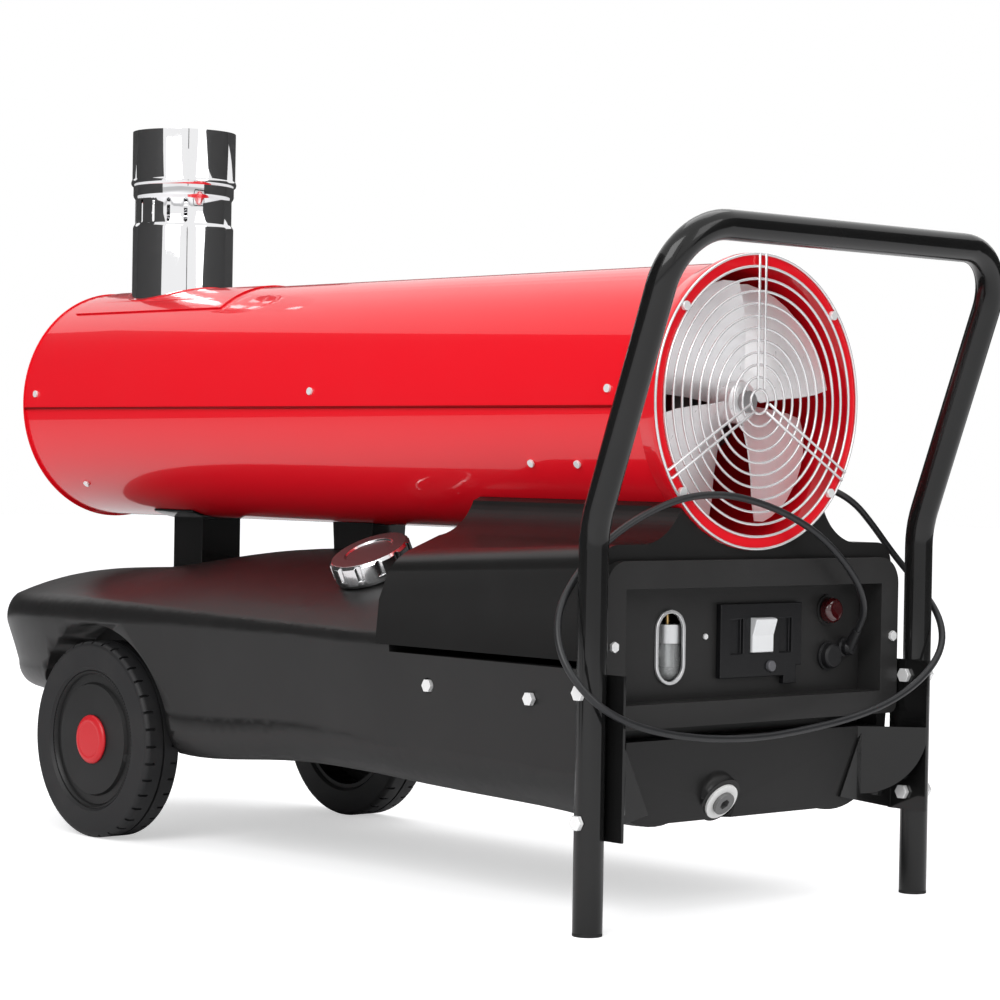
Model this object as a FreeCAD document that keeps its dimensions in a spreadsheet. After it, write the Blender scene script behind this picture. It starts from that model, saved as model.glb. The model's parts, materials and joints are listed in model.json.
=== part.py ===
"""Mobile indirect oil-fired air heater, as a parametric FreeCAD document.

Millimetres, +Z up. X runs along the drum towards the fan and the push handle, Y is across, and the
origin lies on the floor under the middle of the object. Driving dimensions are cells of the sheet;
every sub-part is an object whose sizes are bound to them.
"""
import FreeCAD
import Part
import Sketcher
import math
import os

Vector = FreeCAD.Vector
Rotation = FreeCAD.Rotation

doc = FreeCAD.newDocument("air_heater")
sheet = doc.addObject("Spreadsheet::Sheet", "sizes")


# --------------------------------------------------------------------------- sizes and expressions

class Size:
    """A length that carries its number and the sheet expression that gives it."""

    def __init__(self, value, text):
        self.value = float(value)
        self.text = text

    def __add__(self, other):
        return join(self, "+", other, self.value + number(other))

    def __sub__(self, other):
        return join(self, "-", other, self.value - number(other))

    def __mul__(self, other):
        return join(self, "*", other, self.value * number(other))

    def __truediv__(self, other):
        return join(self, "/", other, self.value / number(other))

    def __radd__(self, other):
        return as_size(other) + self

    def __rsub__(self, other):
        return as_size(other) - self

    def __rmul__(self, other):
        return as_size(other) * self

    def __neg__(self):
        return as_size(0) - self


def as_size(thing):
    """A plain number as a Size, so that both can stand in one sum."""
    return thing if isinstance(thing, Size) else Size(thing, "(%r)" % float(thing))


def number(thing):
    """The number that a Size or a plain number stands for."""
    return as_size(thing).value


def join(left, sign, right, value):
    """A Size made from two others."""
    return Size(value, "(%s %s %s)" % (as_size(left).text, sign, as_size(right).text))


def root(thing):
    """Square root of a Size."""
    return Size(math.sqrt(thing.value), "sqrt(%s)" % thing.text)


def cosine(angle):
    """Cosine of a Size in degrees."""
    return Size(math.cos(math.radians(number(angle))), "cos(%s * 1deg)" % as_size(angle).text)


def sine(angle):
    """Sine of a Size in degrees."""
    return Size(math.sin(math.radians(number(angle))), "sin(%s * 1deg)" % as_size(angle).text)


def cell(alias, value, note):
    """One driving dimension: a row of the sheet with its note, its number and its alias."""
    cell.row += 1
    sheet.set("A%d" % cell.row, note)
    sheet.set("B%d" % cell.row, str(value))
    sheet.setAlias("B%d" % cell.row, alias)
    return Size(value, "sizes.%s" % alias)


cell.row = 0

# Overall places
axis_z = cell("drum_axis_height", 493, "height of the drum axis over the floor")
drum_x = cell("drum_middle", -38.5, "X of the drum's mid-length")
drum_length = cell("drum_length", 1069, "length of the drum shells")
drum_r = cell("drum_radius", 135.2, "outside radius of the drum's upper shell")
sheet_wall = cell("drum_sheet", 1.2, "thickness of the drum's sheet metal")
fit_gap = cell("seat_clearance", 0.3, "clearance of parts that seat on each other")
run_gap = cell("running_clearance", 0.05, "radial clearance of shafts in their bores")
seam_angle = cell("seam_angle", 3.5, "degrees that the upper shell reaches below the drum axis")
lap_angle = cell("lap_angle", 7, "degrees of overlap of the lower shell inside the upper one")
outlet_x = drum_x - drum_length / 2
fan_x = drum_x + drum_length / 2
lower_r = drum_r - sheet_wall - fit_gap
inner_r = lower_r - sheet_wall

# Drum ends and the plate under the flue
ring_r = cell("inlet_ring_radius", 143.7, "outside radius of the flared ring at the fan end")
ring_depth = cell("inlet_ring_depth", 24, "length of the flared ring")
ring_sheet = cell("ring_sheet", 1.5, "thickness of the end rings")
lip = cell("outlet_lip", 14, "width of the outlet ring's inward lip")
saddle_length = cell("saddle_length", 290, "length of the flue saddle plate along the drum")
saddle_start = cell("saddle_start", 30, "distance of the saddle plate from the outlet end")
saddle_angle = cell("saddle_angle", 76, "degrees of the drum that the saddle plate wraps")
collar_height = cell("collar_height", 12, "height of the saddle's collar round the flue")

# Flue
flue_r = cell("flue_radius", 60, "outside radius of the flue pipe")
flue_wall = cell("flue_wall", 0.8, "wall of the flue pipe")
flue_x = cell("flue_place", -442, "X of the flue axis")
flue_top = cell("flue_top", 818, "height of the flue's open top")
socket_length = cell("flue_socket_length", 61, "length of the socket at the flue's open end")
socket_bore = cell("flue_socket_radius", 60.6, "bore radius of the socket at the flue's open end")
joint_z = flue_top - socket_length
bead = cell("flue_bead", 8, "height of the joint band")
slot_top = joint_z - cell("slot_drop", 20, "distance of the draught slots below the joint")
slot_height = cell("slot_height", 29, "height of the draught slots")
slot_width = cell("slot_width", 4.5, "width of the draught slots")
neck_depth = cell("neck_depth", 2.5, "how far the slotted neck is rolled in")
slot_pitch = cell("slot_pitch", 20.5, "degrees between the draught slots")

# Furnace
chamber_r = cell("chamber_radius", 82, "outside radius of the combustion chamber")
chamber_wall = cell("chamber_wall", 1.5, "wall of the chamber and exchanger")
chamber_x = cell("chamber_start", 42, "distance of the chamber's nose from the outlet end")
chamber_length = cell("chamber_length", 620, "length of the combustion chamber")
exchanger_r = cell("exchanger_radius", 114, "outside radius of the heat exchanger")
exchanger_gap = cell("exchanger_gap", 9, "air gap between chamber and exchanger")
exchanger_length = cell("exchanger_length", 520, "length of the heat exchanger")
stay_sheet = cell("stay_sheet", 3, "thickness of the exchanger's stays")
stay_width = cell("stay_width", 24, "width of the exchanger's stays along the drum")

# Fan, motor, pump and burner head
guard_wire = cell("guard_wire", 2.6, "thickness of the guard's wires")
guard_rings = 12
guard_pitch = (ring_r - guard_wire / 2) / guard_rings
fan_r = cell("fan_radius", 122, "tip radius of the fan")
hub_r = cell("fan_hub_radius", 21, "radius of the fan's hub")
hub_length = cell("fan_hub_length", 32, "length of the fan's hub")
hub_inset = cell("fan_inset", 14, "distance of the hub's front behind the fan end")
blade_sheet = cell("blade_sheet", 1.6, "thickness of the fan's blades")
shaft_r = cell("shaft_radius", 6, "radius of the motor shaft")
motor_r = cell("motor_radius", 48, "radius of the motor")
motor_length = cell("motor_length", 96, "length of the motor")
motor_gap = cell("motor_gap", 10, "gap between fan hub and motor")
arm_width = cell("bracket_arm_width", 22, "width of the motor bracket's arms")
bracket_length = cell("bracket_length", 18, "length of the motor bracket's ring")
pump_r = cell("pump_radius", 26, "radius of the fuel pump")
pump_length = cell("pump_length", 52, "length of the fuel pump")
head_r = cell("burner_head_radius", 46, "radius of the burner head's blast tube")
head_length = cell("burner_head_length", 96, "length of the blast tube")
head_reach = cell("burner_head_reach", 46, "length of the blast tube inside the chamber")
hub_front = fan_x - hub_inset
hub_back = hub_front - hub_length
motor_front = hub_back - motor_gap
motor_back = motor_front - motor_length
chamber_nose = outlet_x + chamber_x
chamber_back = chamber_nose + chamber_length

# Tank
nose_x = cell("tank_nose", -626.5, "X of the tank's nose")
tank_end = cell("tank_end", 491.5, "X of the tank's end under the panel")
nose_run = cell("nose_run", 200, "length over which the nose rounds to full width")
tank_half = cell("tank_half_width", 202, "half width of the tank at its waist crease")
nose_half = cell("nose_half_width", 68, "half width of the nose's blunt front")
end_half = cell("tank_end_half_width", 212.5, "half width of the tank at its end")
floor_z = cell("tank_floor", 106, "height of the tank's underside behind the wheels")
crease_z = cell("waist_crease", 254, "height of the crease round the tank")
crown_z = cell("tank_crown", 331, "height of the tank's crown at mid-length")
front_crown = cell("front_crown", 299, "height of the crown behind the nose")
nose_crown = cell("nose_crown", 266, "height of the nose's top")
nose_floor = cell("nose_floor", 171, "height of the nose's underside")
tank_wall = cell("tank_wall", 5, "wall of the moulded tank")
sole_half = cell("tank_sole_half_width", 176, "half width of the tank's flat underside")
well_x = cell("well_start", 196, "X where the tank steps down under the burner housing")
deck_z = cell("deck_height", 240, "height of the tank's side cheeks beside the well")
well_z = cell("well_floor", 171, "height of the well's floor and of the end apron")
cheek = cell("cheek_width", 20, "width of the tank's cheeks beside the well")

# Wheels and axle
wheel_r = cell("wheel_radius", 110.5, "radius of the wheels")
wheel_width = cell("wheel_width", 45.6, "width of the tyres")
wheel_face = cell("wheel_face", 206.6, "Y of the wheels' outer faces")
axle_x = cell("axle_place", -321, "X of the axle")
axle_r = cell("axle_radius", 10, "radius of the axle")
arch_r = cell("arch_radius", 130, "radius of the wheel arches")
arch_gap = cell("arch_gap", 11, "gap between the wheels and the arches' inner walls")
rim_r = cell("rim_radius", 78, "radius of the wheel disc under the tyre")
hub_cap_r = cell("hub_cap_radius", 27.4, "radius of the hub caps")
hub_tube_r = cell("hub_tube_radius", 19, "radius of the wheel's hub tube")
bush_wall = cell("bush_wall", 2.5, "wall of the wheel bushes")
wheel_inner = wheel_face - wheel_width

# Handle tube that is also the two legs
tube_r = cell("tube_radius", 14, "radius of the handle tube")
tube_wall = cell("tube_wall", 1.8, "wall of the handle tube")
leg_x = tank_end + cell("leg_reach", 20.1, "distance of the legs' centre lines from the tank's end")
leg_y = cell("leg_spread", 229.9, "Y of the legs' centre lines")
knee_z = cell("knee_height", 372, "height where the legs lean towards the user")
bar_x = leg_x + cell("crossbar_reach", 100.9, "how far the crossbar stands out from the legs")
bar_z = cell("crossbar_height", 647, "height of the crossbar")
knee_bend = cell("knee_bend", 110, "bend radius at the knees")
bar_bend = cell("crossbar_bend", 62, "bend radius at the crossbar's corners")
cap_height = cell("foot_cap_height", 3, "thickness of the foot caps under the tube ends")
bracket_sheet = cell("bracket_sheet", 3, "thickness of the leg brackets")
bracket_front = leg_x + cell("bracket_reach", 27.9, "distance of the brackets' free edge from the legs")
bracket_top = cell("bracket_top", 238, "height of the leg brackets' top")
bracket_foot = cell("bracket_foot", 86, "height of the leg brackets' lower edge")
bracket_web = cell("bracket_web", 80, "width of the brackets' web on the tank's end")
bolt_high = cell("upper_bolt", 222, "height of the upper leg bolts")
bolt_low = cell("lower_bolt", 104, "height of the lower leg bolts")
bolt_r = cell("bolt_radius", 4, "radius of the leg bolts")
head_bolt_r = cell("bolt_head_radius", 7.5, "corner radius of the hexagon heads")
head_bolt_h = cell("bolt_head_height", 5, "height of the hexagon heads")
small_screw_r = cell("small_screw_radius", 2.8, "radius of the small hexagon screws")
small_head_r = cell("small_head_radius", 5.2, "corner radius of the small screws' heads")
small_head_h = cell("small_head_height", 3.2, "height of the small screws' heads")

# Burner housing and control panel
cover_start = cell("cover_start", 175.5, "X of the burner cover's closed end")
cover_wall = cell("cover_wall", 2.5, "wall of the burner cover")
cover_half = cell("cover_half_width", 206, "half width of the cover's skirt")
cover_foot = cell("cover_foot", 247, "height of the skirt's lower edge")
cover_crease = cell("cover_crease", 291, "height of the crease above the skirt")
shoulder_z = cell("shoulder_height", 356, "height of the cover's shoulders")
shoulder_half = cell("shoulder_half_width", 205, "half width of the cover at its shoulders")
cheek_foot = cell("cheek_foot", 146, "Y where the cradle's cheeks rise from the shoulders")
cradle_angle = cell("cradle_angle", 43, "degrees of the drum that the cradle hugs on each side")
panel_face = tank_end + cell("panel_reach", 14, "distance of the control panel's face from the tank's end")
panel_half = cell("panel_half_width", 206.5, "half width of the control panel")
panel_foot = cell("panel_foot", 184, "height of the panel's lower edge")
panel_top = cell("panel_top", 341, "height of the panel's upper edge")
panel_corner = cell("panel_corner", 26, "radius of the panel's upper corners")
recess_half = cell("recess_half_width", 181, "half width of the panel's recess")
recess_foot = cell("recess_foot", 207, "height of the recess floor")
recess_top = cell("recess_top", 315, "height of the recess's upper edge")
recess_depth = cell("recess_depth", 30, "depth of the panel's recess")
plate_sheet = cell("panel_plate_sheet", 2, "thickness of the panel plate")
plate_x = panel_face - recess_depth
plate_back = plate_x - plate_sheet

# Controls on the panel plate
window_y = cell("window_place", -93, "Y of the sight window")
window_z = cell("window_height", 257, "height of the sight window's centre")
window_half = cell("window_half_width", 17, "half width of the sight window's opening")
window_tall = cell("window_half_height", 33, "half height of the sight window's opening")
trim_width = cell("trim_width", 3, "width of the window's trim")
trim_proud = cell("trim_proud", 3, "height of the window's trim over the plate")
switch_y = cell("switch_place", 30, "Y of the switch group's centre")
switch_z = cell("switch_height", 266, "height of the switch group's centre")
switch_half = cell("switch_half_width", 58, "half width of the switch escutcheon")
switch_tall = cell("switch_half_height", 31, "half height of the switch escutcheon")
escutcheon_proud = cell("escutcheon_proud", 6, "thickness of the switch escutcheon")
rocker_half = cell("rocker_half_width", 15, "half width of the rocker switch")
rocker_tall = cell("rocker_half_height", 17, "half height of the rocker switch")
rocker_proud = cell("rocker_proud", 5, "height of the rocker over the escutcheon")
rocker_tilt = cell("rocker_tilt", 9, "degrees that the rocker is tipped from flat")
button_y = cell("reset_place", 43, "Y of the reset button")
button_z = cell("reset_height", 235, "height of the reset button")
button_r = cell("reset_radius", 5.5, "radius of the reset button")
button_travel = cell("reset_travel", 2.5, "travel of the reset button")
lamp_y = cell("lamp_place", 131, "Y of the red reset lamp")
lamp_z = cell("lamp_height", 288, "height of the red reset lamp")
lamp_r = cell("lamp_radius", 12.5, "radius of the red reset lamp")
lamp_proud = cell("lamp_proud", 14, "height of the red lamp over the plate")
lamp_collar = cell("lamp_collar", 2.5, "width and height of the collar round the red lamp")
lamp_travel = cell("lamp_travel", 3, "travel of the red reset lamp")
socket_y = cell("socket_place", 133, "Y of the thermostat socket")
socket_z = cell("socket_height", 242, "height of the thermostat socket's centre")
socket_r = cell("socket_radius", 12.5, "radius of the thermostat socket's cap")
gland_y = cell("gland_place", 157, "Y of the cord gland")
gland_z = cell("gland_height", 250, "height of the cord gland")
gland_r = cell("gland_radius", 8, "radius of the cord gland")
tab_y = cell("tab_place", 72, "Y of the hinged socket tab")

# Filter, column, saddle, filler, drain
filter_x = cell("filter_depth", 18.5, "distance of the filter's axis behind the panel plate")
bowl_r = cell("bowl_radius", 15, "radius of the filter's glass bowl")
bowl_height = cell("bowl_height", 38, "height of the glass bowl")
filter_side = cell("filter_shift", 18, "how far the filter stands beside the middle of the window")
column_x = cell("column_place", -384.5, "X of the front column")
column_long = cell("column_half_length", 28, "half length of the front column")
column_half = cell("column_half_width", 28, "half width of the front column")
column_sheet = cell("column_sheet", 2.5, "sheet of the column and of the middle saddle")
middle_x = cell("middle_saddle_place", -84, "X of the middle saddle")
middle_long = cell("middle_saddle_half_length", 30, "half length of the middle saddle's foot")
middle_half = cell("middle_saddle_half_width", 24, "half width of the middle saddle")
middle_flare = cell("middle_saddle_flare", 6, "how far the middle saddle flares towards its top")
filler_x = cell("filler_place", 60, "X of the filler neck")
filler_y = cell("filler_side", -108, "Y of the filler neck")
filler_r = cell("filler_radius", 30, "radius of the filler neck")
filler_wall = cell("filler_wall", 3, "wall of the filler neck")
filler_cap_r = cell("filler_cap_radius", 44, "radius of the filler cap")
filler_cap_h = cell("filler_cap_height", 20, "height of the filler cap")
drain_y = cell("drain_place", -38, "Y of the drain plug")
drain_z = cell("drain_height", 111, "height of the drain plug")
drain_tilt = cell("drain_tilt", 30, "degrees that the drain points down")
drain_r = cell("drain_radius", 9, "radius of the drain plug's shank")
drain_ring = cell("drain_ring_radius", 19, "radius of the drain seal")
drain_boss = cell("drain_boss_radius", 24, "radius of the moulded boss round the drain")

# Cord
cord_r = cell("cord_radius", 3.5, "radius of the power cord")
plug_x = cell("plug_place", 320, "X where the cord enters the plug")
plug_y = cell("plug_side", 165, "Y of the plug on the cover's shoulder")
plug_r = cell("plug_radius", 17, "radius of the plug")
plug_length = cell("plug_length", 54, "length of the plug's body")
pin_gap = cell("pin_spacing", 19, "distance between the plug's pins")
pin_r = cell("pin_radius", 2.4, "radius of the plug's pins")
pin_length = cell("pin_length", 19, "length of the plug's pins")

# Smaller places
nose_crease = cell("nose_crease", 215, "height of the nose's widest line")
front_floor = cell("front_floor", 151, "height of the underside ahead of the wheels")
belly = cell("side_draft", 9, "how far the tank's sides draw in below the crease")
nose_draft = cell("nose_draft", 28, "how far the nose's sides draw in below the crease")
crease_soft = cell("crease_softness", 12, "rounding of the crease below its line")
crease_draw = cell("crease_draw", 18, "how far the rounding of the crease reaches inwards")
swell_x = cell("swell_place", -210, "X where the tank reaches its full depth")
level_x = cell("level_place", 30, "X from where the tank's crown runs level")
belly_rise = cell("belly_rise", 8, "how far the underside rises towards mid-length")
end_sole = cell("end_sole_half_width", 106, "half width of the underside at the tank's end")
end_drop = cell("end_drop", 22, "how far the underside drops from mid-length to the tank's end")
end_dip = cell("end_dip", 6, "how far the crease drops towards the tank's end")
hub_recess = cell("hub_recess", 7, "depth of the hub tube's end below the tyre's face")
collar_length = cell("collar_length", 3, "length of the axle's collars")
shoulder = cell("tyre_shoulder", 6, "rounding of the tyre's shoulders")
tread_depth = cell("tread_depth", 3, "depth of the grooves in the tyre's tread")
tread_groove = cell("tread_groove", 3, "width of the grooves in the tyre's tread")
disc_sheet = cell("disc_thickness", 5, "thickness of the wheel disc")
disc_inset = cell("disc_inset", 3, "depth of the wheel disc below the tyre's face")
disc_seat = cell("disc_seat", 24, "radius of the recess under the hub cap")
disc_groove = cell("disc_groove", 9, "width of the ring groove beside the disc's rim")
clamp_y = cell("axle_block_place", 110, "Y of the axle blocks")
column_lip = cell("column_lip", 10, "lip of the column's yoke beyond its post")
yoke_half = cell("yoke_half_width", 50, "half width of the column's yoke under the drum")
filler_tilt = cell("filler_tilt", 26, "degrees that the filler leans outwards")
filler_z = cell("filler_foot", 311, "height of the tank's skin at the filler")
filler_depth = cell("filler_depth", 18, "depth of the filler neck below the tank's skin")
filler_neck = cell("filler_neck", 23, "height of the filler neck over the tank's skin")
drain_proud = cell("drain_proud", 3, "how far the drain boss stands out of its face")
drain_shank = cell("drain_shank", 22, "length of the drain plug's shank")
seal_sheet = cell("drain_seal_sheet", 3, "thickness of the drain seal")
door_half = cell("door_half_width", 188, "half width of the cover's opening behind the panel")
door_top = cell("door_top", 322, "height of the cover's opening behind the panel")
panel_lip = cell("panel_lip", 3, "wall of the panel's recess")
tab_half = cell("tab_half_width", 9, "half width of the surround's tab")
strain_length = cell("strain_relief_length", 24, "length of the strain relief")
relief_start = cell("strain_relief_start", 8, "distance of the strain relief's root from the panel plate")
relief_lift = cell("strain_relief_lift", 50, "degrees that the strain relief points up")
relief_swing = cell("strain_relief_swing", 16, "degrees that the strain relief points sideways")
web_rise = cell("bracket_web_rise", 16, "how far the web's lower edge rises towards its tip")
screw_y = cell("panel_screw_place", 197, "Y of the panel's side screws")
plate_screw_y = cell("plate_screw_place", -44, "Y of the panel plate's small screw")
plate_screw_r = cell("plate_screw_radius", 1.5, "radius of the panel plate's small screw")
screw_z = cell("panel_screw_height", 262, "height of the panel's side screws")
pipe_r = cell("fuel_pipe_radius", 3, "radius of the fuel pipes")
suction_reach = cell("suction_pipe_reach", 30, "distance of the suction pipe's rise from the filter")
base_sheet = cell("housing_base_sheet", 1.5, "thickness of the housing's base plate")
pipe_x = cell("feed_pipe_place", 318, "X of the feed pipe's rise to the pump")
tank_screw_a = cell("tank_screw_first", 254.5, "X of the tank's first side screw")
tank_screw_b = cell("tank_screw_second", 407.5, "X of the tank's second side screw")
tank_seat_a = cell("tank_screw_seat_a", 201.5, "Y of the seat of the side screws by the front")
tank_seat_b = cell("tank_screw_seat_b", 208, "Y of the seat of the side screws by the end")


# --------------------------------------------------------------------------------- drawing helpers

TURNS = {"z": Rotation(), "x": Rotation(Vector(0, 1, 0), 90), "-x": Rotation(Vector(0, 1, 0), -90),
         "y": Rotation(Vector(1, 0, 0), -90), "-y": Rotation(Vector(1, 0, 0), 90)}
PARTS = []


def bind(thing, prop, amount):
    """Set a property of an object to a size and bind it to the sheet."""
    thing.setExpression(prop, as_size(amount).text)


def place(thing, x, y, z, turn):
    """Put an object at a bound place, with a fixed rotation."""
    thing.Placement = FreeCAD.Placement(Vector(number(x), number(y), number(z)), turn)
    for letter, amount in zip("xyz", (x, y, z)):
        bind(thing, "Placement.Base." + letter, amount)


def keep(thing, label):
    """Give an object its label and list it as a sub-part."""
    thing.Label = label
    PARTS.append(thing)
    return thing


def pin_point(sketch, rules, geometry, position, x, y):
    """Hold a point of a sketch at bound coordinates; the rules are added together later."""
    rules.append((Sketcher.Constraint("DistanceX", -1, 1, geometry, position, number(x)), x))
    rules.append((Sketcher.Constraint("DistanceY", -1, 1, geometry, position, number(y)), y))


def draw_loop(sketch, corners, rules):
    """Draw a closed outline. A corner is (x, y), or (x, y, (mx, my)) where an arc through m follows."""
    count = len(corners)
    edges = []
    for index, corner in enumerate(corners):
        following = corners[(index + 1) % count]
        start = Vector(number(corner[0]), number(corner[1]), 0)
        end = Vector(number(following[0]), number(following[1]), 0)
        if len(corner) == 2:
            edge = sketch.addGeometry(Part.LineSegment(start, end), False)
            edges.append((edge, 1, 2))
            continue
        middle = Vector(number(corner[2][0]), number(corner[2][1]), 0)
        edge = sketch.addGeometry(Part.Arc(start, middle, end), False)
        forward = sketch.getPoint(edge, 1).distanceToPoint(start) < sketch.getPoint(edge, 2).distanceToPoint(start)
        edges.append((edge, 1, 2) if forward else (edge, 2, 1))
        dot = sketch.addGeometry(Part.Point(middle), True)
        pin_point(sketch, rules, dot, 1, *corner[2])
        rules.append((Sketcher.Constraint("PointOnObject", dot, 1, edge), None))
    for index, corner in enumerate(corners):
        edge, first, last = edges[index]
        pin_point(sketch, rules, edge, first, corner[0], corner[1])
        after, after_first, _ = edges[(index + 1) % count]
        rules.append((Sketcher.Constraint("Coincident", edge, last, after, after_first), None))


def draw_circle(sketch, x, y, radius, rules):
    """Draw a circle with a bound centre and radius."""
    circle = Part.Circle(Vector(number(x), number(y), 0), Vector(0, 0, 1), number(radius))
    edge = sketch.addGeometry(circle, False)
    pin_point(sketch, rules, edge, 3, x, y)
    rules.append((Sketcher.Constraint("Radius", edge, number(radius)), radius))


def fill_sketch(sketch, outlines):
    """Draw outlines, each a corner list or a circle (x, y, radius), and bind all their sizes."""
    rules = []
    for outline in outlines:
        if isinstance(outline, tuple):
            draw_circle(sketch, *outline, rules)
        else:
            draw_loop(sketch, outline, rules)
    sketch.addConstraint([rule for rule, _ in rules])
    for index, (_, amount) in enumerate(rules):
        if amount is not None:
            bind(sketch, "Constraints[%d]" % index, amount)
    return sketch


def new_body(name):
    """An empty body."""
    return doc.addObject("PartDesign::Body", name)


def body_sketch(body, role, outlines, lift=0):
    """A sketch on one of the body's own origin planes, lifted along the plane's normal."""
    sketch = body.newObject("Sketcher::SketchObject", "outline")
    plane = [feature for feature in body.Origin.OriginFeatures if feature.Role == role][0]
    sketch.AttachmentSupport = [(plane, "")]
    sketch.MapMode = "FlatFace"
    sketch.AttachmentOffset = FreeCAD.Placement(Vector(0, 0, number(lift)), Rotation())
    bind(sketch, "AttachmentOffset.Base.z", lift)
    return fill_sketch(sketch, outlines)


def pad(body, sketch, length, both_ways=False, back=False):
    """Pad a sketch along its normal, half each way, or backwards."""
    feature = body.newObject("PartDesign::Pad", "pad")
    feature.Profile = sketch
    feature.Midplane = both_ways
    feature.Reversed = back
    bind(feature, "Length", length)
    return feature


def pocket(body, sketch, length, both_ways=False, back=False):
    """Cut a sketch out of the body, against its normal unless it is turned back."""
    feature = body.newObject("PartDesign::Pocket", "pocket")
    feature.Profile = sketch
    feature.Midplane = both_ways
    feature.Reversed = back
    bind(feature, "Length", length)
    return feature


def revolve(body, sketch, degrees=360, groove=False):
    """Turn a sketch about the body's Z axis, evenly to both sides of the sketch."""
    feature = body.newObject("PartDesign::Groove" if groove else "PartDesign::Revolution", "turning")
    feature.Profile = sketch
    feature.ReferenceAxis = (sketch, ["V_Axis"])
    feature.Midplane = True
    bind(feature, "Angle", degrees)
    return feature


def ring_pattern(body, features, count, degrees=360):
    """Repeat features round the body's Z axis."""
    pattern = body.newObject("PartDesign::PolarPattern", "repeats")
    pattern.Originals = features
    axis = [feature for feature in body.Origin.OriginFeatures if feature.Role == "Z_Axis"][0]
    pattern.Axis = (axis, [""])
    pattern.Occurrences = count
    bind(pattern, "Angle", degrees)
    body.Tip = pattern
    return pattern


def turned(label, outline, x, y, z, axis, degrees=360, spin=0):
    """A piece turned from an outline of (radius, height) corners, set at a place along an axis."""
    body = new_body(label)
    revolve(body, body_sketch(body, "XZ_Plane", [outline]), degrees)
    turn = TURNS[axis].multiply(Rotation(Vector(0, 0, 1), spin))
    place(body, x, y, z, turn)
    return keep(body, label)


def tube_outline(inner, outer, low, high):
    """Outline of a plain ring between two radii and two heights."""
    return [(inner, low), (outer, low), (outer, high), (inner, high)]


def box_loop(left, right, low, high):
    """Outline of a rectangle."""
    return [(left, low), (right, low), (right, high), (left, high)]


def slab(name, outlines, role, start, end):
    """A body padded between two places along a plane's axis (X for YZ, Z for XY, -Y for XZ)."""
    body = new_body(name)
    pad(body, body_sketch(body, role, outlines, start), end - start)
    return body


def primitive(kind, x, y, z, axis, **amounts):
    """A Part primitive at a bound place, with bound sizes."""
    thing = doc.addObject("Part::" + kind, kind.lower())
    for prop, amount in amounts.items():
        bind(thing, prop, amount)
    place(thing, x, y, z, TURNS[axis])
    return thing


def block(x_low, x_high, y_low, y_high, z_low, z_high):
    """A box between bound faces."""
    return primitive("Box", x_low, y_low, z_low, "z",
                     Length=x_high - x_low, Width=y_high - y_low, Height=z_high - z_low)


def rod(x, y, z, axis, radius, length):
    """A cylinder from a bound place along an axis."""
    return primitive("Cylinder", x, y, z, axis, Radius=radius, Height=length)


def cut(base, tool):
    """One solid less another."""
    thing = doc.addObject("Part::Cut", "cut")
    thing.Base = base
    thing.Tool = tool
    return thing


def drilled(base, rods):
    """A solid less a set of round holes."""
    holes = doc.addObject("Part::Compound", "holes")
    holes.Links = rods
    return cut(base, holes)


def fuse(shapes):
    """Several solids as one."""
    thing = doc.addObject("Part::MultiFuse", "fuse")
    thing.Shapes = shapes
    return thing


def group(label, pieces):
    """Separate solids that share one node."""
    thing = doc.addObject("Part::Compound", label)
    thing.Links = pieces
    return keep(thing, label)


def hex_bolt(x, y, z, axis, shank_r, length, head_r, head_h):
    """A hexagon head standing on a face, with its shank going back the other way."""
    back = {"x": "-x", "-x": "x", "y": "-y", "-y": "y"}[axis]
    head = primitive("Prism", x, y, z, axis, Circumradius=head_r, Height=head_h)
    return fuse([head, rod(x, y, z, back, shank_r, length)])


def mirrored_pair(label, maker):
    """Two pieces, made by maker(side, sign) on the -Y side (left) and the +Y side (right)."""
    for side, sign in (("left", -1), ("right", 1)):
        maker("%s_%s" % (label, side), sign)


# ---------------------------------------------------------------------------------- bent tube work

def point(x, y, z):
    """A vector from sizes or numbers."""
    return Vector(number(x), number(y), number(z))


def auto_radius(points, index):
    """Largest arc at a point that leaves each run a little straight: 0.45 of the shorter run."""
    before = points[index] - points[index - 1]
    after = points[index + 1] - points[index]
    turn = before.getAngle(after)
    return 0.45 * min(before.Length, after.Length) / math.tan(turn / 2)


def bent_path(points, radii):
    """A wire of straight runs joined by tangent arcs of the given radii."""
    edges = []
    last = points[0]
    for index in range(1, len(points) - 1):
        corner = points[index]
        back = (points[index - 1] - corner).normalize()
        ahead = (points[index + 1] - corner).normalize()
        turn = math.pi - back.getAngle(ahead)
        reach = radii[index - 1] * math.tan(turn / 2)
        start = corner + back * reach
        end = corner + ahead * reach
        towards = (back + ahead).normalize()
        middle = corner + towards * (radii[index - 1] / math.cos(turn / 2) - radii[index - 1])
        edges.append(Part.LineSegment(last, start).toShape())
        edges.append(Part.Arc(start, middle, end).toShape())
        last = end
    edges.append(Part.LineSegment(last, points[-1]).toShape())
    return Part.Wire(edges)


def swept_solid(path, radius, start, ahead):
    """A round solid along a path."""
    ring = Part.Wire([Part.makeCircle(radius, start, ahead)])
    return path.makePipeShell([ring], True, False, 2)


def bent_solid(label, points, radii, radius, wall=0):
    """A bent round tube, hollow where it has a wall, that isn't a sub-part yet."""
    path = bent_path(points, radii)
    ahead = points[1] - points[0]
    shape = swept_solid(path, radius, points[0], ahead)
    if wall:
        shape = shape.cut(swept_solid(path, radius - wall, points[0], ahead))
    expected = math.pi * (radius ** 2 - (radius - wall) ** 2 if wall else radius ** 2) * path.Length
    print("%s: length %.0f, volume %.3f of its section times length" % (label, path.Length, shape.Volume / expected))
    thing = doc.addObject("Part::Feature", label)
    thing.Shape = shape
    return thing


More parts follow.
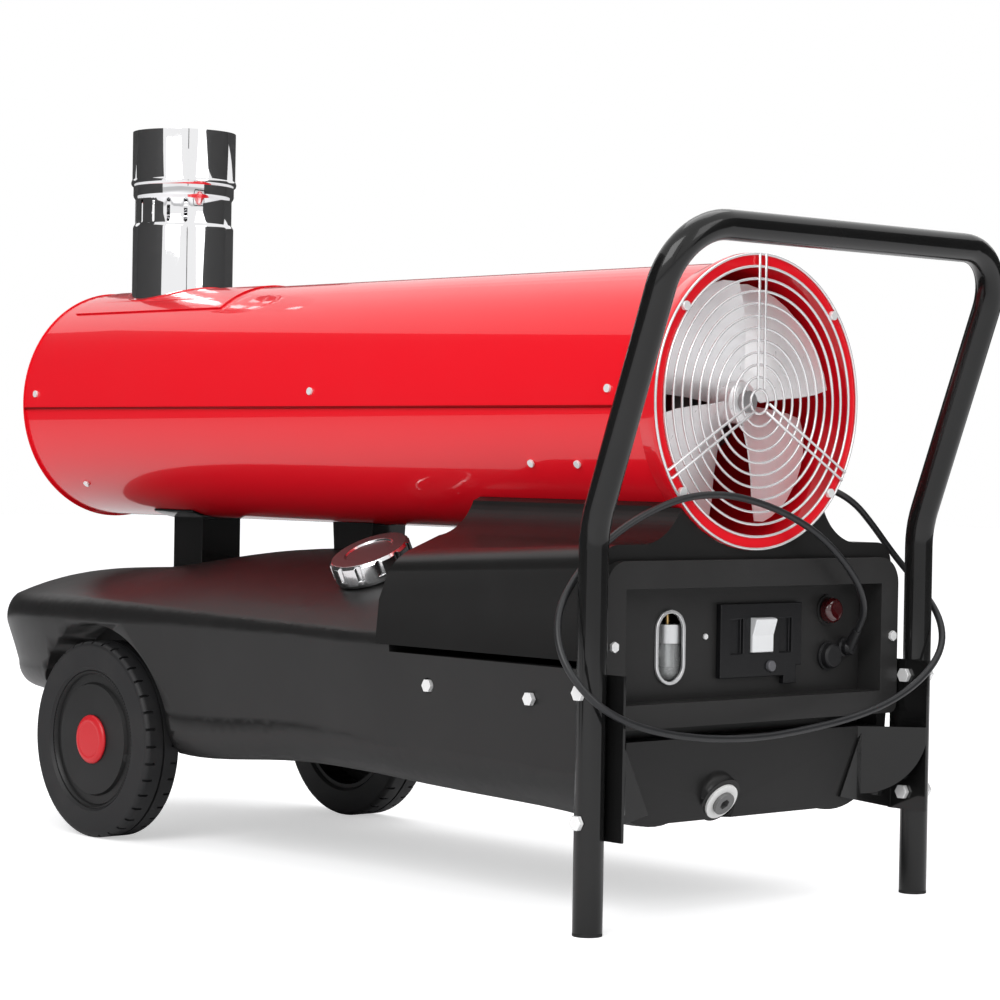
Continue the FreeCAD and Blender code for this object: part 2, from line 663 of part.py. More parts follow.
def bent_tube(label, points, radii, radius, wall=0):
    """A bent round tube as a sub-part."""
    return keep(bent_solid(label, points, radii, radius, wall), label)


# -------------------------------------------------------------------------------------------- drum

def make_drum():
    """Two rolled shells, the end rings, the saddle plate under the flue and their screws."""
    upper_sweep = 180 + 2 * seam_angle
    lower_sweep = 180 + 2 * (lap_angle - seam_angle)
    upper = rolled_shell(drum_r, upper_sweep, 180)
    keep(drilled(upper, [rod(flue_x, 0, axis_z, "z", flue_r + fit_gap, 2 * drum_r)]), "drum_upper_shell")
    lower = rolled_shell(lower_r, lower_sweep, 0)
    keep(drilled(lower, [rod(pipe_x, 0, axis_z - drum_r, "z", pipe_r + fit_gap, drum_r)]), "drum_lower_shell")
    band = inner_r - fit_gap
    turned("outlet_ring", [(band - lip, -ring_sheet), (drum_r + ring_sheet, -ring_sheet), (drum_r + ring_sheet, 0),
                           (band, 0), (band, ring_depth), (band - ring_sheet, ring_depth), (band - ring_sheet, 0),
                           (band - lip, 0)],
           outlet_x, 0, axis_z, "x")
    mouth = drum_r + fit_gap
    turned("inlet_ring", [(mouth, -ring_depth), (mouth + ring_sheet, -ring_depth), (ring_r, -ring_sheet),
                          (ring_r, 2 * ring_sheet), (inner_r - ring_sheet, 2 * ring_sheet), (inner_r - ring_sheet, fit_gap),
                          (ring_r - ring_sheet, fit_gap), (ring_r - ring_sheet, -ring_sheet)],
           fan_x, 0, axis_z, "x")
    make_saddle()


def rolled_shell(radius, sweep, spin):
    """A half shell of the drum, its sheet lying inside a radius."""
    body = new_body("rolled_shell")
    sheet_outline = tube_outline(radius - sheet_wall, radius, 0, drum_length)
    revolve(body, body_sketch(body, "XZ_Plane", [sheet_outline]), sweep)
    place(body, outlet_x, 0, axis_z, TURNS["x"].multiply(Rotation(Vector(0, 0, 1), spin)))
    return body


def make_saddle():
    """A plate rolled to the drum with a raised collar that the flue stands in."""
    body = new_body("flue_saddle")
    low = drum_r + fit_gap
    revolve(body, body_sketch(body, "XZ_Plane", [tube_outline(low, low + ring_sheet, 0, saddle_length)]), saddle_angle)
    offset = flue_x - outlet_x - saddle_start
    collar = body_sketch(body, "YZ_Plane", [(0, offset, flue_r + 3 * ring_sheet)], drum_r * 0.8)
    pad(body, collar, low + collar_height - drum_r * 0.8)
    bore = body_sketch(body, "YZ_Plane", [(0, offset, flue_r + fit_gap)], drum_r * 1.5)
    pocket(body, bore, drum_r)
    drum_cut = body_sketch(body, "XY_Plane", [(0, 0, low)], -saddle_length)
    pocket(body, drum_cut, 3 * saddle_length, back=True)
    place(body, outlet_x + saddle_start, 0, axis_z, TURNS["x"].multiply(Rotation(Vector(0, 0, 1), 180)))
    keep(body, "flue_saddle")


def on_drum(x, degrees, radius):
    """Place on the drum at degrees above the horizontal on the -Y side, as sizes."""
    return x, -(radius * cosine(degrees)), axis_z + radius * sine(degrees)


def make_drum_screws():
    """Raised screws of the shells: a row along the seam and one row below it, on each side."""
    screw_r = cell("drum_screw_radius", 4, "radius of the drum's screw heads")
    screw_h = cell("drum_screw_height", 2.6, "height of the drum's screw heads")
    seam_row = cell("seam_screw_angle", 4, "degrees of the seam's screws above the axis")
    side_row = cell("side_screw_angle", -28, "degrees of the fan end's screws below the axis")
    low_row = cell("outlet_screw_angle", -46, "degrees of the outlet's lower screw below the axis")
    spots = [(drum_x - 510, seam_row), (drum_x + 15, seam_row), (drum_x + 468, seam_row),
             (drum_x + 345, side_row), (drum_x + 411, side_row), (drum_x - 462, low_row)]
    screws = []
    for x, degrees in spots:
        for side in (-1, 1):
            seat = drum_r if number(degrees) > 0 else lower_r
            screw = doc.addObject("Part::Cylinder", "screw")
            bind(screw, "Radius", screw_r)
            bind(screw, "Height", screw_h)
            _, y, z = on_drum(x, degrees, seat)
            outward = Vector(0, -math.cos(math.radians(number(degrees))), math.sin(math.radians(number(degrees))))
            outward.y *= -side
            place(screw, x, y * -side, z, Rotation(Vector(0, 0, 1), outward))
            screws.append(screw)
    return screws


# -------------------------------------------------------------------------------------------- flue

def make_flue():
    """Stainless flue: a base section with a slotted neck, a joint band and the top section."""
    base = axis_z + root(exchanger_r * exchanger_r - flue_r * flue_r)
    slot_low = slot_top - slot_height
    ease = neck_depth * 1.6
    body = new_body("flue_base")
    inner = flue_r - flue_wall
    profile = [(inner, base), (flue_r, base), (flue_r, slot_low - ease), (flue_r - neck_depth, slot_low),
               (flue_r - neck_depth, slot_top), (flue_r, slot_top + ease), (flue_r, joint_z), (inner, joint_z),
               (inner, slot_top + ease), (inner - neck_depth, slot_top), (inner - neck_depth, slot_low),
               (inner, slot_low - ease)]
    revolve(body, body_sketch(body, "XZ_Plane", [profile]))
    half = slot_width / 2
    low = slot_low + half
    high = slot_top - half
    slot = [(-half, low), (-half, high, (0, slot_top)), (half, high), (half, low, (0, slot_low))]
    sketch = body_sketch(body, "XZ_Plane", [slot], flue_r - 2 * neck_depth)
    slot_cut = pocket(body, sketch, 3 * neck_depth, back=True)
    ring_pattern(body, [slot_cut], 8, 7 * slot_pitch)
    place(body, flue_x, 0, 0, Rotation(Vector(0, 0, 1), -86.5))
    keep(body, "flue_base")
    over = flue_r + run_gap
    half_bead = bead / 2
    turned("flue_top",
           [(over, joint_z - half_bead), (over + flue_wall, joint_z - half_bead, (over + flue_wall + bead / 4, joint_z)),
            (over + flue_wall, joint_z + half_bead), (socket_bore + flue_wall, joint_z + half_bead),
            (socket_bore + flue_wall, flue_top), (socket_bore, flue_top), (socket_bore, joint_z), (over, joint_z)],
           flue_x, 0, 0, "z")


# ----------------------------------------------------------------------------------------- furnace

def make_furnace():
    """Combustion chamber, heat exchanger round it, its stays, and the burner head behind it."""
    wall = chamber_wall
    inner = chamber_r - wall
    dome = cell("chamber_dome", 26, "depth of the chamber's domed nose")
    tube_bore = head_r + fit_gap
    length = chamber_length
    turned("combustion_chamber",
           [(0, 0), (chamber_r * 0.3, 0, (chamber_r * 0.78, dome * 0.35)), (chamber_r, dome), (chamber_r, length),
            (tube_bore, length), (tube_bore, length - wall), (inner, length - wall),
            (inner, dome, (inner * 0.78, dome * 0.35 + wall)), (chamber_r * 0.3, wall), (0, wall)],
           chamber_nose, 0, axis_z, "x")
    low = chamber_r + exchanger_gap
    shell = new_body("heat_exchanger")
    start = dome
    end = start + exchanger_length
    seat = chamber_r + fit_gap
    outer_loop = [(seat, start), (exchanger_r, start), (exchanger_r, end), (seat, end), (seat, end - wall),
                  (low, end - wall), (low, start + wall), (seat, start + wall)]
    void_loop = tube_outline(low + wall, exchanger_r - wall, start + wall, end - wall)
    revolve(shell, body_sketch(shell, "XZ_Plane", [outer_loop, void_loop]))
    outlet = body_sketch(shell, "YZ_Plane", [(0, flue_x - chamber_nose, flue_r + fit_gap)], low + wall)
    pocket(shell, outlet, exchanger_r, back=True)
    place(shell, chamber_nose, 0, axis_z, TURNS["x"].multiply(Rotation(Vector(0, 0, 1), 180)))
    keep(shell, "heat_exchanger")
    stays = []
    for along in (chamber_nose + start + stay_width, chamber_nose + end - 2 * stay_width):
        for degrees in (35, 145, 270):
            stays.append(stay(along, degrees, exchanger_r + fit_gap, inner_r - fit_gap, stay_width))
    group("exchanger_stays", stays)
    make_burner_head()


def stay(x, degrees, low, high, width):
    """A small post that stands between two round walls about the drum axis."""
    post = doc.addObject("Part::Box", "stay")
    bind(post, "Length", width)
    bind(post, "Width", stay_sheet)
    bind(post, "Height", high - low)
    angle = math.radians(degrees)
    up = Vector(0, math.cos(angle), math.sin(angle))
    turn = Rotation(Vector(1, 0, 0), Vector(0, -up.z, up.y).negative(), up, "ZXY")
    side = Size(up.z, "(%r)" % up.z)
    place(post, x, low * up.y + stay_sheet / 2 * side, axis_z + low * up.z - stay_sheet / 2 * up.y, turn)
    return post


def make_burner_head():
    """Blast tube in the chamber's back plate, with its swirl disc, nozzle and two electrodes."""
    wall = chamber_wall
    start = chamber_back - head_reach
    flange = head_r + 3 * head_bolt_r
    turned("burner_head",
           [(head_r - wall, 0), (head_r, 0), (head_r, head_reach + fit_gap), (flange, head_reach + fit_gap),
            (flange, head_reach + 2 * wall), (head_r, head_reach + 2 * wall), (head_r, head_length),
            (pump_r, head_length), (pump_r, head_length - wall), (head_r - wall, head_length - wall)],
           start, 0, axis_z, "x")
    disc = new_body("swirl_disc")
    disc_r = head_r - wall - fit_gap
    pad(disc, body_sketch(disc, "XY_Plane", [(0, 0, disc_r), (0, 0, disc_r / 3)]), 2 * wall)
    vane = body_sketch(disc, "XY_Plane", [box_loop(disc_r * 0.45, disc_r * 0.88, -wall, wall)], -wall)
    vane_cut = pocket(disc, vane, 5 * wall, back=True)
    ring_pattern(disc, [vane_cut], 8)
    place(disc, start + wall * 6, 0, axis_z, TURNS["x"])
    keep(disc, "swirl_disc")
    nozzle_r = disc_r / 3 - fit_gap
    turned("fuel_nozzle", [(0, -wall), (nozzle_r / 2, -wall), (nozzle_r, wall * 2), (nozzle_r, head_length * 0.55),
                           (0, head_length * 0.55)],
           start + wall * 6, 0, axis_z, "x")


# ------------------------------------------------------------------------- fan, motor, pump, guard

def make_fan():
    """Five twisted blades on a hub."""
    body = new_body("fan_wheel")
    hub = [(shaft_r, -hub_length), (hub_r, -hub_length), (hub_r, -hub_length * 0.2),
           (hub_r * 0.8, 0), (shaft_r, 0)]
    revolve(body, body_sketch(body, "XZ_Plane", [hub]))
    root_chord = cell("blade_root_chord", 30, "chord of a blade at the hub")
    tip_chord = cell("blade_tip_chord", 92, "chord of a blade at its tip")
    root_pitch = cell("blade_root_pitch", 42, "degrees of a blade's pitch at the hub")
    tip_pitch = cell("blade_tip_pitch", 20, "degrees of a blade's pitch at its tip")
    camber = cell("blade_camber", 7, "camber of a blade at its tip")
    sections = []
    reach = root(fan_r * fan_r - tip_chord * tip_chord / 4)
    for out, chord, pitch, bow in ((hub_r * 0.8, root_chord, root_pitch, camber / 3),
                                   (reach, tip_chord, tip_pitch, camber)):
        dy = chord / 2 * cosine(pitch)
        dz = chord / 2 * sine(pitch)
        middle = -hub_length / 2
        half = blade_sheet / 2
        sections.append(body_sketch(body, "YZ_Plane", [[
            (-dy, middle - dz - half, (0, middle - half + bow)), (dy, middle + dz - half), (dy, middle + dz + half, (0, middle + half + bow)),
            (-dy, middle - dz + half)]], out))
    blade = body.newObject("PartDesign::AdditiveLoft", "blade")
    blade.Profile = sections[0]
    blade.Sections = [sections[1]]
    blade.Ruled = True
    ring_pattern(body, [blade], 5)
    place(body, hub_front, 0, axis_z, TURNS["x"])
    keep(body, "fan_wheel")


def make_motor():
    """Motor with its shaft and nut, the bracket that holds it in the drum, and the fuel pump."""
    bore = shaft_r + run_gap
    nose = motor_r * 0.45
    turned("fan_motor",
           [(bore, 0), (motor_r * 0.9, 0), (motor_r, motor_length * 0.08), (motor_r, motor_length * 0.9),
            (nose, motor_length), (bore, motor_length)],
           motor_back, 0, axis_z, "x")
    coupling = cell("shaft_overrun", 12, "length of the shaft inside the pump")
    turned("motor_shaft", [(0, motor_back - coupling - hub_front), (shaft_r, motor_back - coupling - hub_front),
                           (shaft_r, 0), (shaft_r * 1.8, 0), (shaft_r * 1.8, shaft_r), (0, shaft_r)],
           hub_front, 0, axis_z, "x")
    ring = new_body("motor_bracket")
    seat = motor_r + fit_gap
    band = cell("bracket_band", 3, "thickness of the bracket's ring round the motor")
    pad(ring, body_sketch(ring, "XY_Plane", [(0, 0, seat + band), (0, 0, seat)]), bracket_length)
    half = arm_width / 2
    foot = inner_r - fit_gap
    corner = root(foot * foot - half * half)
    arm = body_sketch(ring, "XY_Plane", [[(seat + band / 2, -half), (corner, -half, (foot, 0)), (corner, half),
                                          (seat + band / 2, half)]])
    arm_pad = pad(ring, arm, band)
    ring_pattern(ring, [arm_pad], 3)
    place(ring, motor_back + motor_length * 0.35, 0, axis_z, TURNS["x"])
    keep(ring, "motor_bracket")
    turned("fuel_pump",
           [(bore, 0), (pump_r * 0.8, 0), (pump_r * 0.8, 0.0 - coupling), (pump_r, 0.0 - coupling), (pump_r, -pump_length),
            (0, -pump_length), (0, -(coupling + 1)), (bore, -(coupling + 1))],
           motor_back - fit_gap / 3, 0, axis_z, "x")


def make_guard():
    """Wire guard: rings joined by pairs of spokes at twelve, four and eight o'clock, and its clips."""
    body = new_body("fan_guard")
    half = guard_wire / 2
    rings = []
    for index in range(1, guard_rings + 1):
        middle = guard_pitch * index
        rings.append(tube_outline(middle - half, middle + half, 0, guard_wire))
    spoke_gap = cell("spoke_spacing", 9, "distance between the two spokes of a pair")
    low = guard_wire * 0.8
    outer = guard_pitch * guard_rings
    for side in (-1, 1):
        spoke = box_loop(guard_pitch - half, outer, low, low + guard_wire)
        sketch = body_sketch(body, "XZ_Plane", [spoke], spoke_gap / 2 * side)
        first = pad(body, sketch, guard_wire, both_ways=True)
        ring_pattern(body, [first], 3)
    revolve(body, body_sketch(body, "XZ_Plane", rings))
    seat = fan_x + 2 * ring_sheet + run_gap
    place(body, seat, 0, axis_z, TURNS["x"].multiply(Rotation(Vector(0, 0, 1), 180)))
    keep(body, "fan_guard")
    clips = []
    clip_r = cell("guard_clip_radius", 4.5, "radius of the guard's screw clips")
    for degrees in (40, 140, 220, 320):
        angle = math.radians(degrees)
        reach = outer - guard_pitch / 2
        clips.append(rod(seat, reach * math.cos(angle), axis_z + reach * math.sin(angle), "x", clip_r,
                         guard_wire * 1.6))
    group("drum_screws", make_drum_screws() + clips)


# -------------------------------------------------------------------------------------------- tank

def tank_section(station, inset):
    """Outline of the tank across its length, drawn in by a wall where it is the cavity's."""
    _, half, floor, crease, crown, sole, draft, soft, draw, share = station
    half = half - inset
    sole = sole - inset
    low = floor + inset
    top = crown - inset
    side = half - draft
    knee = low + (crease - low) * 0.32
    bulge = (side - sole) * 0.72
    rise = (knee - low) * 0.3
    below = (half - draft * soft / (crease - knee), crease - soft)
    above = (half - draw, crease + (top - crease) * share)
    bow = ((below[0] + above[0]) / 2 + (above[1] - below[1]) * 0.15, (below[1] + above[1]) / 2 + (below[0] - above[0]) * 0.15)
    return [(-sole, low), (sole, low, (sole + bulge, low + rise)), (side, knee), below + (bow,), above + ((0, top),),
            (-above[0], above[1], (-bow[0], bow[1])), (-below[0], below[1]), (-side, knee, (-sole - bulge, low + rise))]


def tank_stations(inset):
    """Places along the tank: X, half width, floor, crease, crown, sole half width, side draft and crease rounding."""
    stations = []
    for degrees in (0, 25, 52, 90):
        reach = sine(degrees)
        along = 1 - cosine(degrees)
        half = nose_half + (tank_half - nose_half) * reach
        stations.append((nose_x + inset + (nose_run - inset) * along, half,
                         nose_floor + (front_floor - nose_floor) * reach,
                         nose_crease + (crease_z - nose_crease) * reach,
                         nose_crown + (front_crown - nose_crown) * reach, half * (0.42 + 0.38 * reach),
                         nose_draft + (belly - nose_draft) * along, crease_soft * (1.3 - 0.3 * reach),
                         crease_draw, 0.63 - 0.28 * reach))
    late_crown = front_crown + (crown_z - front_crown) * 0.83
    stations.append((swell_x, tank_half, floor_z, crease_z, late_crown, sole_half, belly, crease_soft * 0.85,
                     crease_draw * 0.65, as_size(0.18)))
    for share in (0, 0.3, 0.6, 0.8, 1):
        stations.append((level_x + (tank_end - inset - level_x) * share, tank_half + (end_half - tank_half) * share,
                         floor_z + belly_rise - end_drop * share, crease_z - end_dip * share, crown_z,
                         sole_half + (end_sole - sole_half) * share, belly, crease_soft * (0.75 - 0.2 * share),
                         crease_draw * (0.45 - 0.1 * share), as_size(0.1)))
    return stations


def tank_form(name, inset):
    """The tank's outer form, or its cavity: a loft through its sections, less the well and arches."""
    body = new_body(name)
    sections = []
    for station in tank_stations(inset):
        sections.append(body_sketch(body, "YZ_Plane", [tank_section(station, inset)], station[0]))
    loft = body.newObject("PartDesign::AdditiveLoft", "hull")
    loft.Profile = sections[0]
    loft.Sections = sections[1:]
    far = tank_end + 1
    deck = body_sketch(body, "XZ_Plane", [box_loop(well_x - inset, far, deck_z - inset, crown_z + inset + 1)])
    pocket(body, deck, 3 * end_half, both_ways=True)
    well = body_sketch(body, "XZ_Plane", [box_loop(well_x - inset, far, well_z - inset, deck_z + 1)])
    pocket(body, well, 2 * (end_half - cheek + inset), both_ways=True)
    inner = wheel_inner - arch_gap - inset
    for lift, back in ((inner, True), (-inner, False)):
        arch = body_sketch(body, "XZ_Plane", [(axle_x, wheel_r, arch_r + inset)], lift)
        pocket(body, arch, tank_half, back=back)
    return body


def filler_turn():
    """Rotation that leans the filler's axis out from the tank's sloping top."""
    return Rotation(Vector(1, 0, 0), number(filler_tilt))


def filler_piece(outline):
    """A piece turned about the filler's leaning axis, from its foot upwards."""
    body = new_body("filler")
    revolve(body, body_sketch(body, "XZ_Plane", [outline]))
    place(body, filler_x, filler_y, filler_z, filler_turn())
    bind(body, "Placement.Rotation.Angle", filler_tilt)
    return body


def make_tank():
    """Moulded tank with its cavity, drain boss and filler hole, and the pieces that close it."""
    hull = tank_form("tank_hull", as_size(0))
    boss = drain_rod(drain_boss, drain_proud - drain_boss, drain_proud)
    outside = fuse([hull, boss])
    tank = cut(cut(hull, tank_form("tank_cavity", tank_wall)), drain_rod(drain_boss, drain_proud, 2 * drain_boss))
    tank = fuse([tank, boss])
    bore = filler_r - filler_wall
    tank = cut(tank, filler_piece([(0, -filler_depth), (bore, -filler_depth), (bore, filler_neck), (0, filler_neck)]))
    neck = filler_piece([(bore, -filler_depth), (filler_r, -filler_depth), (filler_r, filler_neck - 2),
                         (filler_r - 1, filler_neck), (bore, filler_neck)])
    tank = fuse([tank, neck])
    holes = [drain_rod(drain_r + fit_gap, -2 * drain_boss, 2 * drain_boss)]
    for x, height, seat, sign in tank_screw_spots():
        outwards = "y" if sign > 0 else "-y"
        holes.append(rod(x, (seat - 10) * sign, height, outwards, bolt_r + fit_gap, 12))
        holes.append(rod(x, seat * sign, height, outwards, head_bolt_r + fit_gap, 20))
    keep(drilled(tank, holes), "fuel_tank")
    make_filler_cap()
    make_drain()
    make_stands(outside)
    return outside


def tank_screw_spots():
    """X, height, seat and side of each screw in the tank's sides."""
    rows = ((tank_screw_a, 210, tank_seat_a), (tank_screw_b, 208, tank_seat_b))
    return [(x, height, seat, sign) for x, height, seat in rows for sign in (-1, 1)]


def make_filler_cap():
    """Round filler cap with grip scallops, dished on top."""
    inside = filler_r + 2 * fit_gap
    foot = filler_neck - filler_cap_h
    rim = filler_cap_r * 0.62
    cap = filler_piece([(0, filler_neck + fit_gap), (inside - 1, filler_neck + fit_gap), (inside, filler_neck - 2),
                        (inside, foot), (filler_cap_r - 2, foot), (filler_cap_r, foot + 4),
                        (filler_cap_r, filler_neck + 2), (filler_cap_r - 3, filler_neck + 5),
                        (rim, filler_neck + 5), (rim - 2, filler_neck + 3), (0, filler_neck + 3)])
    grip = body_sketch(cap, "XY_Plane", [(filler_cap_r + 3, 0, 5)], filler_neck + 6)
    ring_pattern(cap, [pocket(cap, grip, filler_cap_h - 2)], 12)
    keep(cap, "filler_cap")


def drain_turn():
    """Rotation from straight up to the way the drain points."""
    return Rotation(Vector(0, 1, 0), 90 + number(drain_tilt))


def drain_rod(radius, start, end):
    """A round rod on the drain's axis between two distances from its middle."""
    shape = primitive("Cylinder", tank_end, drain_y, drain_z, "x", Radius=radius, Height=end - start)
    foot = drain_turn().multVec(Vector(0, 0, number(start)))
    place(shape, tank_end + foot.x, drain_y, drain_z + foot.z, drain_turn())
    return shape


def drain_piece(name, outline):
    """A piece turned about the drain's axis, from its boss outwards."""
    body = new_body(name)
    revolve(body, body_sketch(body, "XZ_Plane", [outline]))
    place(body, tank_end, drain_y, drain_z, drain_turn())
    return body


def make_drain():
    """Drain plug with a hexagon socket, screwed down on a white sealing ring."""
    face = drain_proud
    keep(drain_piece("drain_seal", tube_outline(drain_r + fit_gap, drain_ring, face, face + seal_sheet)), "drain_seal")
    head = drain_ring * 0.62
    top = face + seal_sheet + run_gap
    plug = drain_piece("drain_plug", [(0, face - drain_shank), (drain_r, face - drain_shank), (drain_r, top),
                                      (head, top), (head, top + 4), (0, top + 4)])
    pocket(plug, body_sketch(plug, "XY_Plane", [hexagon(drain_r * 0.62)], top + 5), 8)
    keep(plug, "drain_plug")


def hexagon(radius):
    """Corners of a hexagon about the sketch's origin."""
    half = radius / 2
    rise = radius * (math.sqrt(3) / 2)
    return [(radius, 0), (half, rise), (-half, rise), (-radius, 0), (-half, -rise), (half, -rise)]


def make_stands(hull):
    """Front column and middle saddle between the tank and the drum, cut to both."""
    drum = rod(outlet_x - 1, 0, axis_z, "x", lower_r + fit_gap, drum_length + 2)
    long = column_long
    half = column_half
    thin = column_sheet
    post = slab("column_post", [box_loop(column_x - long, column_x + long, -half, half),
                                box_loop(column_x - long + thin, column_x + long - thin, thin - half, half - thin)],
                "XY_Plane", front_crown - 40, axis_z - lower_r * 0.8)
    wide = long + column_lip
    yoke = rod(column_x - wide, 0, axis_z, "x", lower_r + fit_gap + thin, 2 * wide)
    lip = block(column_x - wide, column_x + wide, -yoke_half, yoke_half, axis_z - 2 * lower_r, axis_z - lower_r * 0.8)
    top = cut(common(yoke, lip), drum)
    keep(cut(cut(fuse([post, top]), drum), hull), "front_column")
    flare = middle_flare
    low = crown_z - 30
    high = axis_z - lower_r * 0.85
    length = middle_long
    side = [(middle_x - length, low), (middle_x + length, low), (middle_x + length + flare, high),
            (middle_x - length - flare, high)]
    inside = [(middle_x - length + thin, low), (middle_x + length - thin, low),
              (middle_x + length + flare - 2 * thin, high), (middle_x - length - flare + 2 * thin, high)]
    body = new_body("saddle_walls")
    pad(body, body_sketch(body, "XZ_Plane", [side, inside]), 2 * middle_half, both_ways=True)
    keep(cut(cut(body, drum), hull), "middle_saddle")


def common(base, tool):
    """What two solids share."""
    thing = doc.addObject("Part::Common", "common")
    thing.Base = base
    thing.Tool = tool
    return thing


# -------------------------------------------------------------------------------- axle and wheels

def make_wheels(hull):
    """Axle under the tank in two blocks, with the sleeves and collars of its two wheels."""
    top = wheel_width - hub_recess
    end = wheel_inner + top + fit_gap + collar_length
    keep(rod(axle_x, -end, wheel_r, "y", axle_r, 2 * end), "axle")
    blocks = []
    sleeves = []
    collars = []
    for axis, side in (("-y", -1), ("y", 1)):
        middle = clamp_y * side
        carrier = block(axle_x - 2 * axle_r, axle_x + 2 * axle_r, middle - axle_r, middle + axle_r,
                        wheel_r - 1.6 * axle_r, crease_z)
        bore = rod(axle_x, middle - 2 * axle_r, wheel_r, "y", axle_r + run_gap, 4 * axle_r)
        blocks.append(cut(cut(carrier, hull), bore))
        sleeves.append(axle_ring(axis, (wheel_inner + 1) * side, bush_wall, top - 2))
        for start in (wheel_inner - collar_length - fit_gap, wheel_inner + top + fit_gap):
            collars.append(axle_ring(axis, start * side, axle_r / 2, collar_length))
    group("axle_blocks", blocks)
    group("axle_sleeves", sleeves)
    group("axle_collars", collars)
    mirrored_pair("wheel", make_wheel)


def axle_ring(axis, y, wall, length):
    """A plain ring on the axle."""
    body = new_body("axle_ring")
    revolve(body, body_sketch(body, "XZ_Plane", [tube_outline(axle_r, axle_r + wall, 0, length)]))
    place(body, axle_x, y, wheel_r, TURNS[axis])
    return body


def make_wheel(label, sign):
    """One wheel: grooved tyre on a disc that turns on its sleeve, with a flush red hub cap."""
    axis = "y" if sign > 0 else "-y"
    side = label.split("_")[-1]
    width = wheel_width
    start = wheel_inner * sign
    tyre = new_body("tyre_" + side)
    soft = shoulder * 0.3
    middle = width / 2
    half = tread_groove / 2
    floor = wheel_r - tread_depth
    revolve(tyre, body_sketch(tyre, "XZ_Plane", [[
        (rim_r, 3), (rim_r + 3, 0), (wheel_r - shoulder, 0, (wheel_r - soft, soft)), (wheel_r, shoulder),
        (wheel_r, middle - half), (floor, middle - half), (floor, middle + half), (wheel_r, middle + half),
        (wheel_r, width - shoulder, (wheel_r - soft, width - soft)), (wheel_r - shoulder, width), (rim_r + 3, width),
        (rim_r, width - 3)]]))
    reach = width * 0.27
    ends = [box_loop(floor, wheel_r + 1, -1, reach), box_loop(floor, wheel_r + 1, width - reach, width + 1)]
    lug = pocket(tyre, body_sketch(tyre, "XZ_Plane", ends), tread_groove, both_ways=True)
    ring_pattern(tyre, [lug], 36)
    place(tyre, axle_x, start, wheel_r, TURNS[axis])
    keep(tyre, "tyre_" + side)
    bore = axle_r + bush_wall + run_gap
    lip = rim_r - 5
    top = width - hub_recess
    face = width - disc_inset
    back = face - disc_sheet
    inner = lip - disc_groove
    turned("wheel_disc_" + side,
           [(bore, 0), (hub_tube_r, 0), (hub_tube_r, back - 12), (disc_seat + 6, back), (inner - 4, back),
            (inner, back - 4), (lip, back - 4), (lip, 3.5), (rim_r - fit_gap, 3.5), (rim_r - fit_gap, width - 3.5), (lip + 2, width - 2.5),
            (lip, face - 4), (inner, face - 4), (inner - 2, face), (disc_seat, face), (disc_seat, top), (bore, top)],
           axle_x, start, wheel_r, axis)
    grip = disc_seat - fit_gap
    hollow = width - 2.2
    turned("hub_cap_" + side,
           [(grip - 2, top + fit_gap), (grip, top + fit_gap), (grip, face + run_gap), (hub_cap_r, face + run_gap),
            (hub_cap_r, face + 2, (hub_cap_r * 0.93, width + 0.9)), (hub_cap_r * 0.7, width + 1.8), (0, width + 2.4),
            (0, hollow), (grip - 2, hollow)],
           axle_x, start, wheel_r, axis)


# ----------------------------------------------------------------------------- handle and brackets

def make_handle():
    """One bent tube for legs and handle, its foot caps, its brackets and the bolts through them."""
    knee = (leg_x, knee_z)
    bar = (bar_x, bar_z)
    route = [point(leg_x, -leg_y, cap_height), point(leg_x, -leg_y, knee[1]), point(bar[0], -leg_y, bar[1]),
             point(bar[0], leg_y, bar[1]), point(leg_x, leg_y, knee[1]), point(leg_x, leg_y, cap_height)]
    bends = [number(knee_bend), number(bar_bend), number(bar_bend), number(knee_bend)]
    tube = bent_tube("handle_tube", route, bends, number(tube_r), number(tube_wall))
    for height in (bolt_high, bolt_low):
        span = 2 * number(leg_y + 2 * tube_r)
        hole = Part.makeCylinder(number(bolt_r + fit_gap), span, point(leg_x, -span / 2, height), Vector(0, 1, 0))
        tube.Shape = tube.Shape.cut(hole)
    caps = []
    bolts = []
    for sign, out, back in ((-1, "-y", "y"), (1, "y", "-y")):
        cap = new_body("foot_cap")
        plug = tube_r - tube_wall - fit_gap
        revolve(cap, body_sketch(cap, "XZ_Plane", [[(0, 0), (tube_r, 0), (tube_r, cap_height), (plug, cap_height),
                                                    (plug, 6 * cap_height), (0, 6 * cap_height)]]))
        place(cap, leg_x, leg_y * sign, 0, TURNS["z"])
        caps.append(cap)
        outside = (leg_y + tube_r) * sign
        inside = (leg_y - tube_r - bracket_sheet) * sign
        for height in (bolt_high, bolt_low):
            bolts.append(hex_bolt(leg_x, outside, height, out, bolt_r, 2 * tube_r + bracket_sheet + head_bolt_h,
                                  head_bolt_r, head_bolt_h))
            nut = primitive("Prism", leg_x, inside, height, back, Circumradius=head_bolt_r, Height=head_bolt_h)
            bolts[-1] = fuse([bolts[-1], nut])
    group("foot_caps", caps)
    group("leg_bolts", bolts)
    mirrored_pair("leg_bracket", make_bracket)


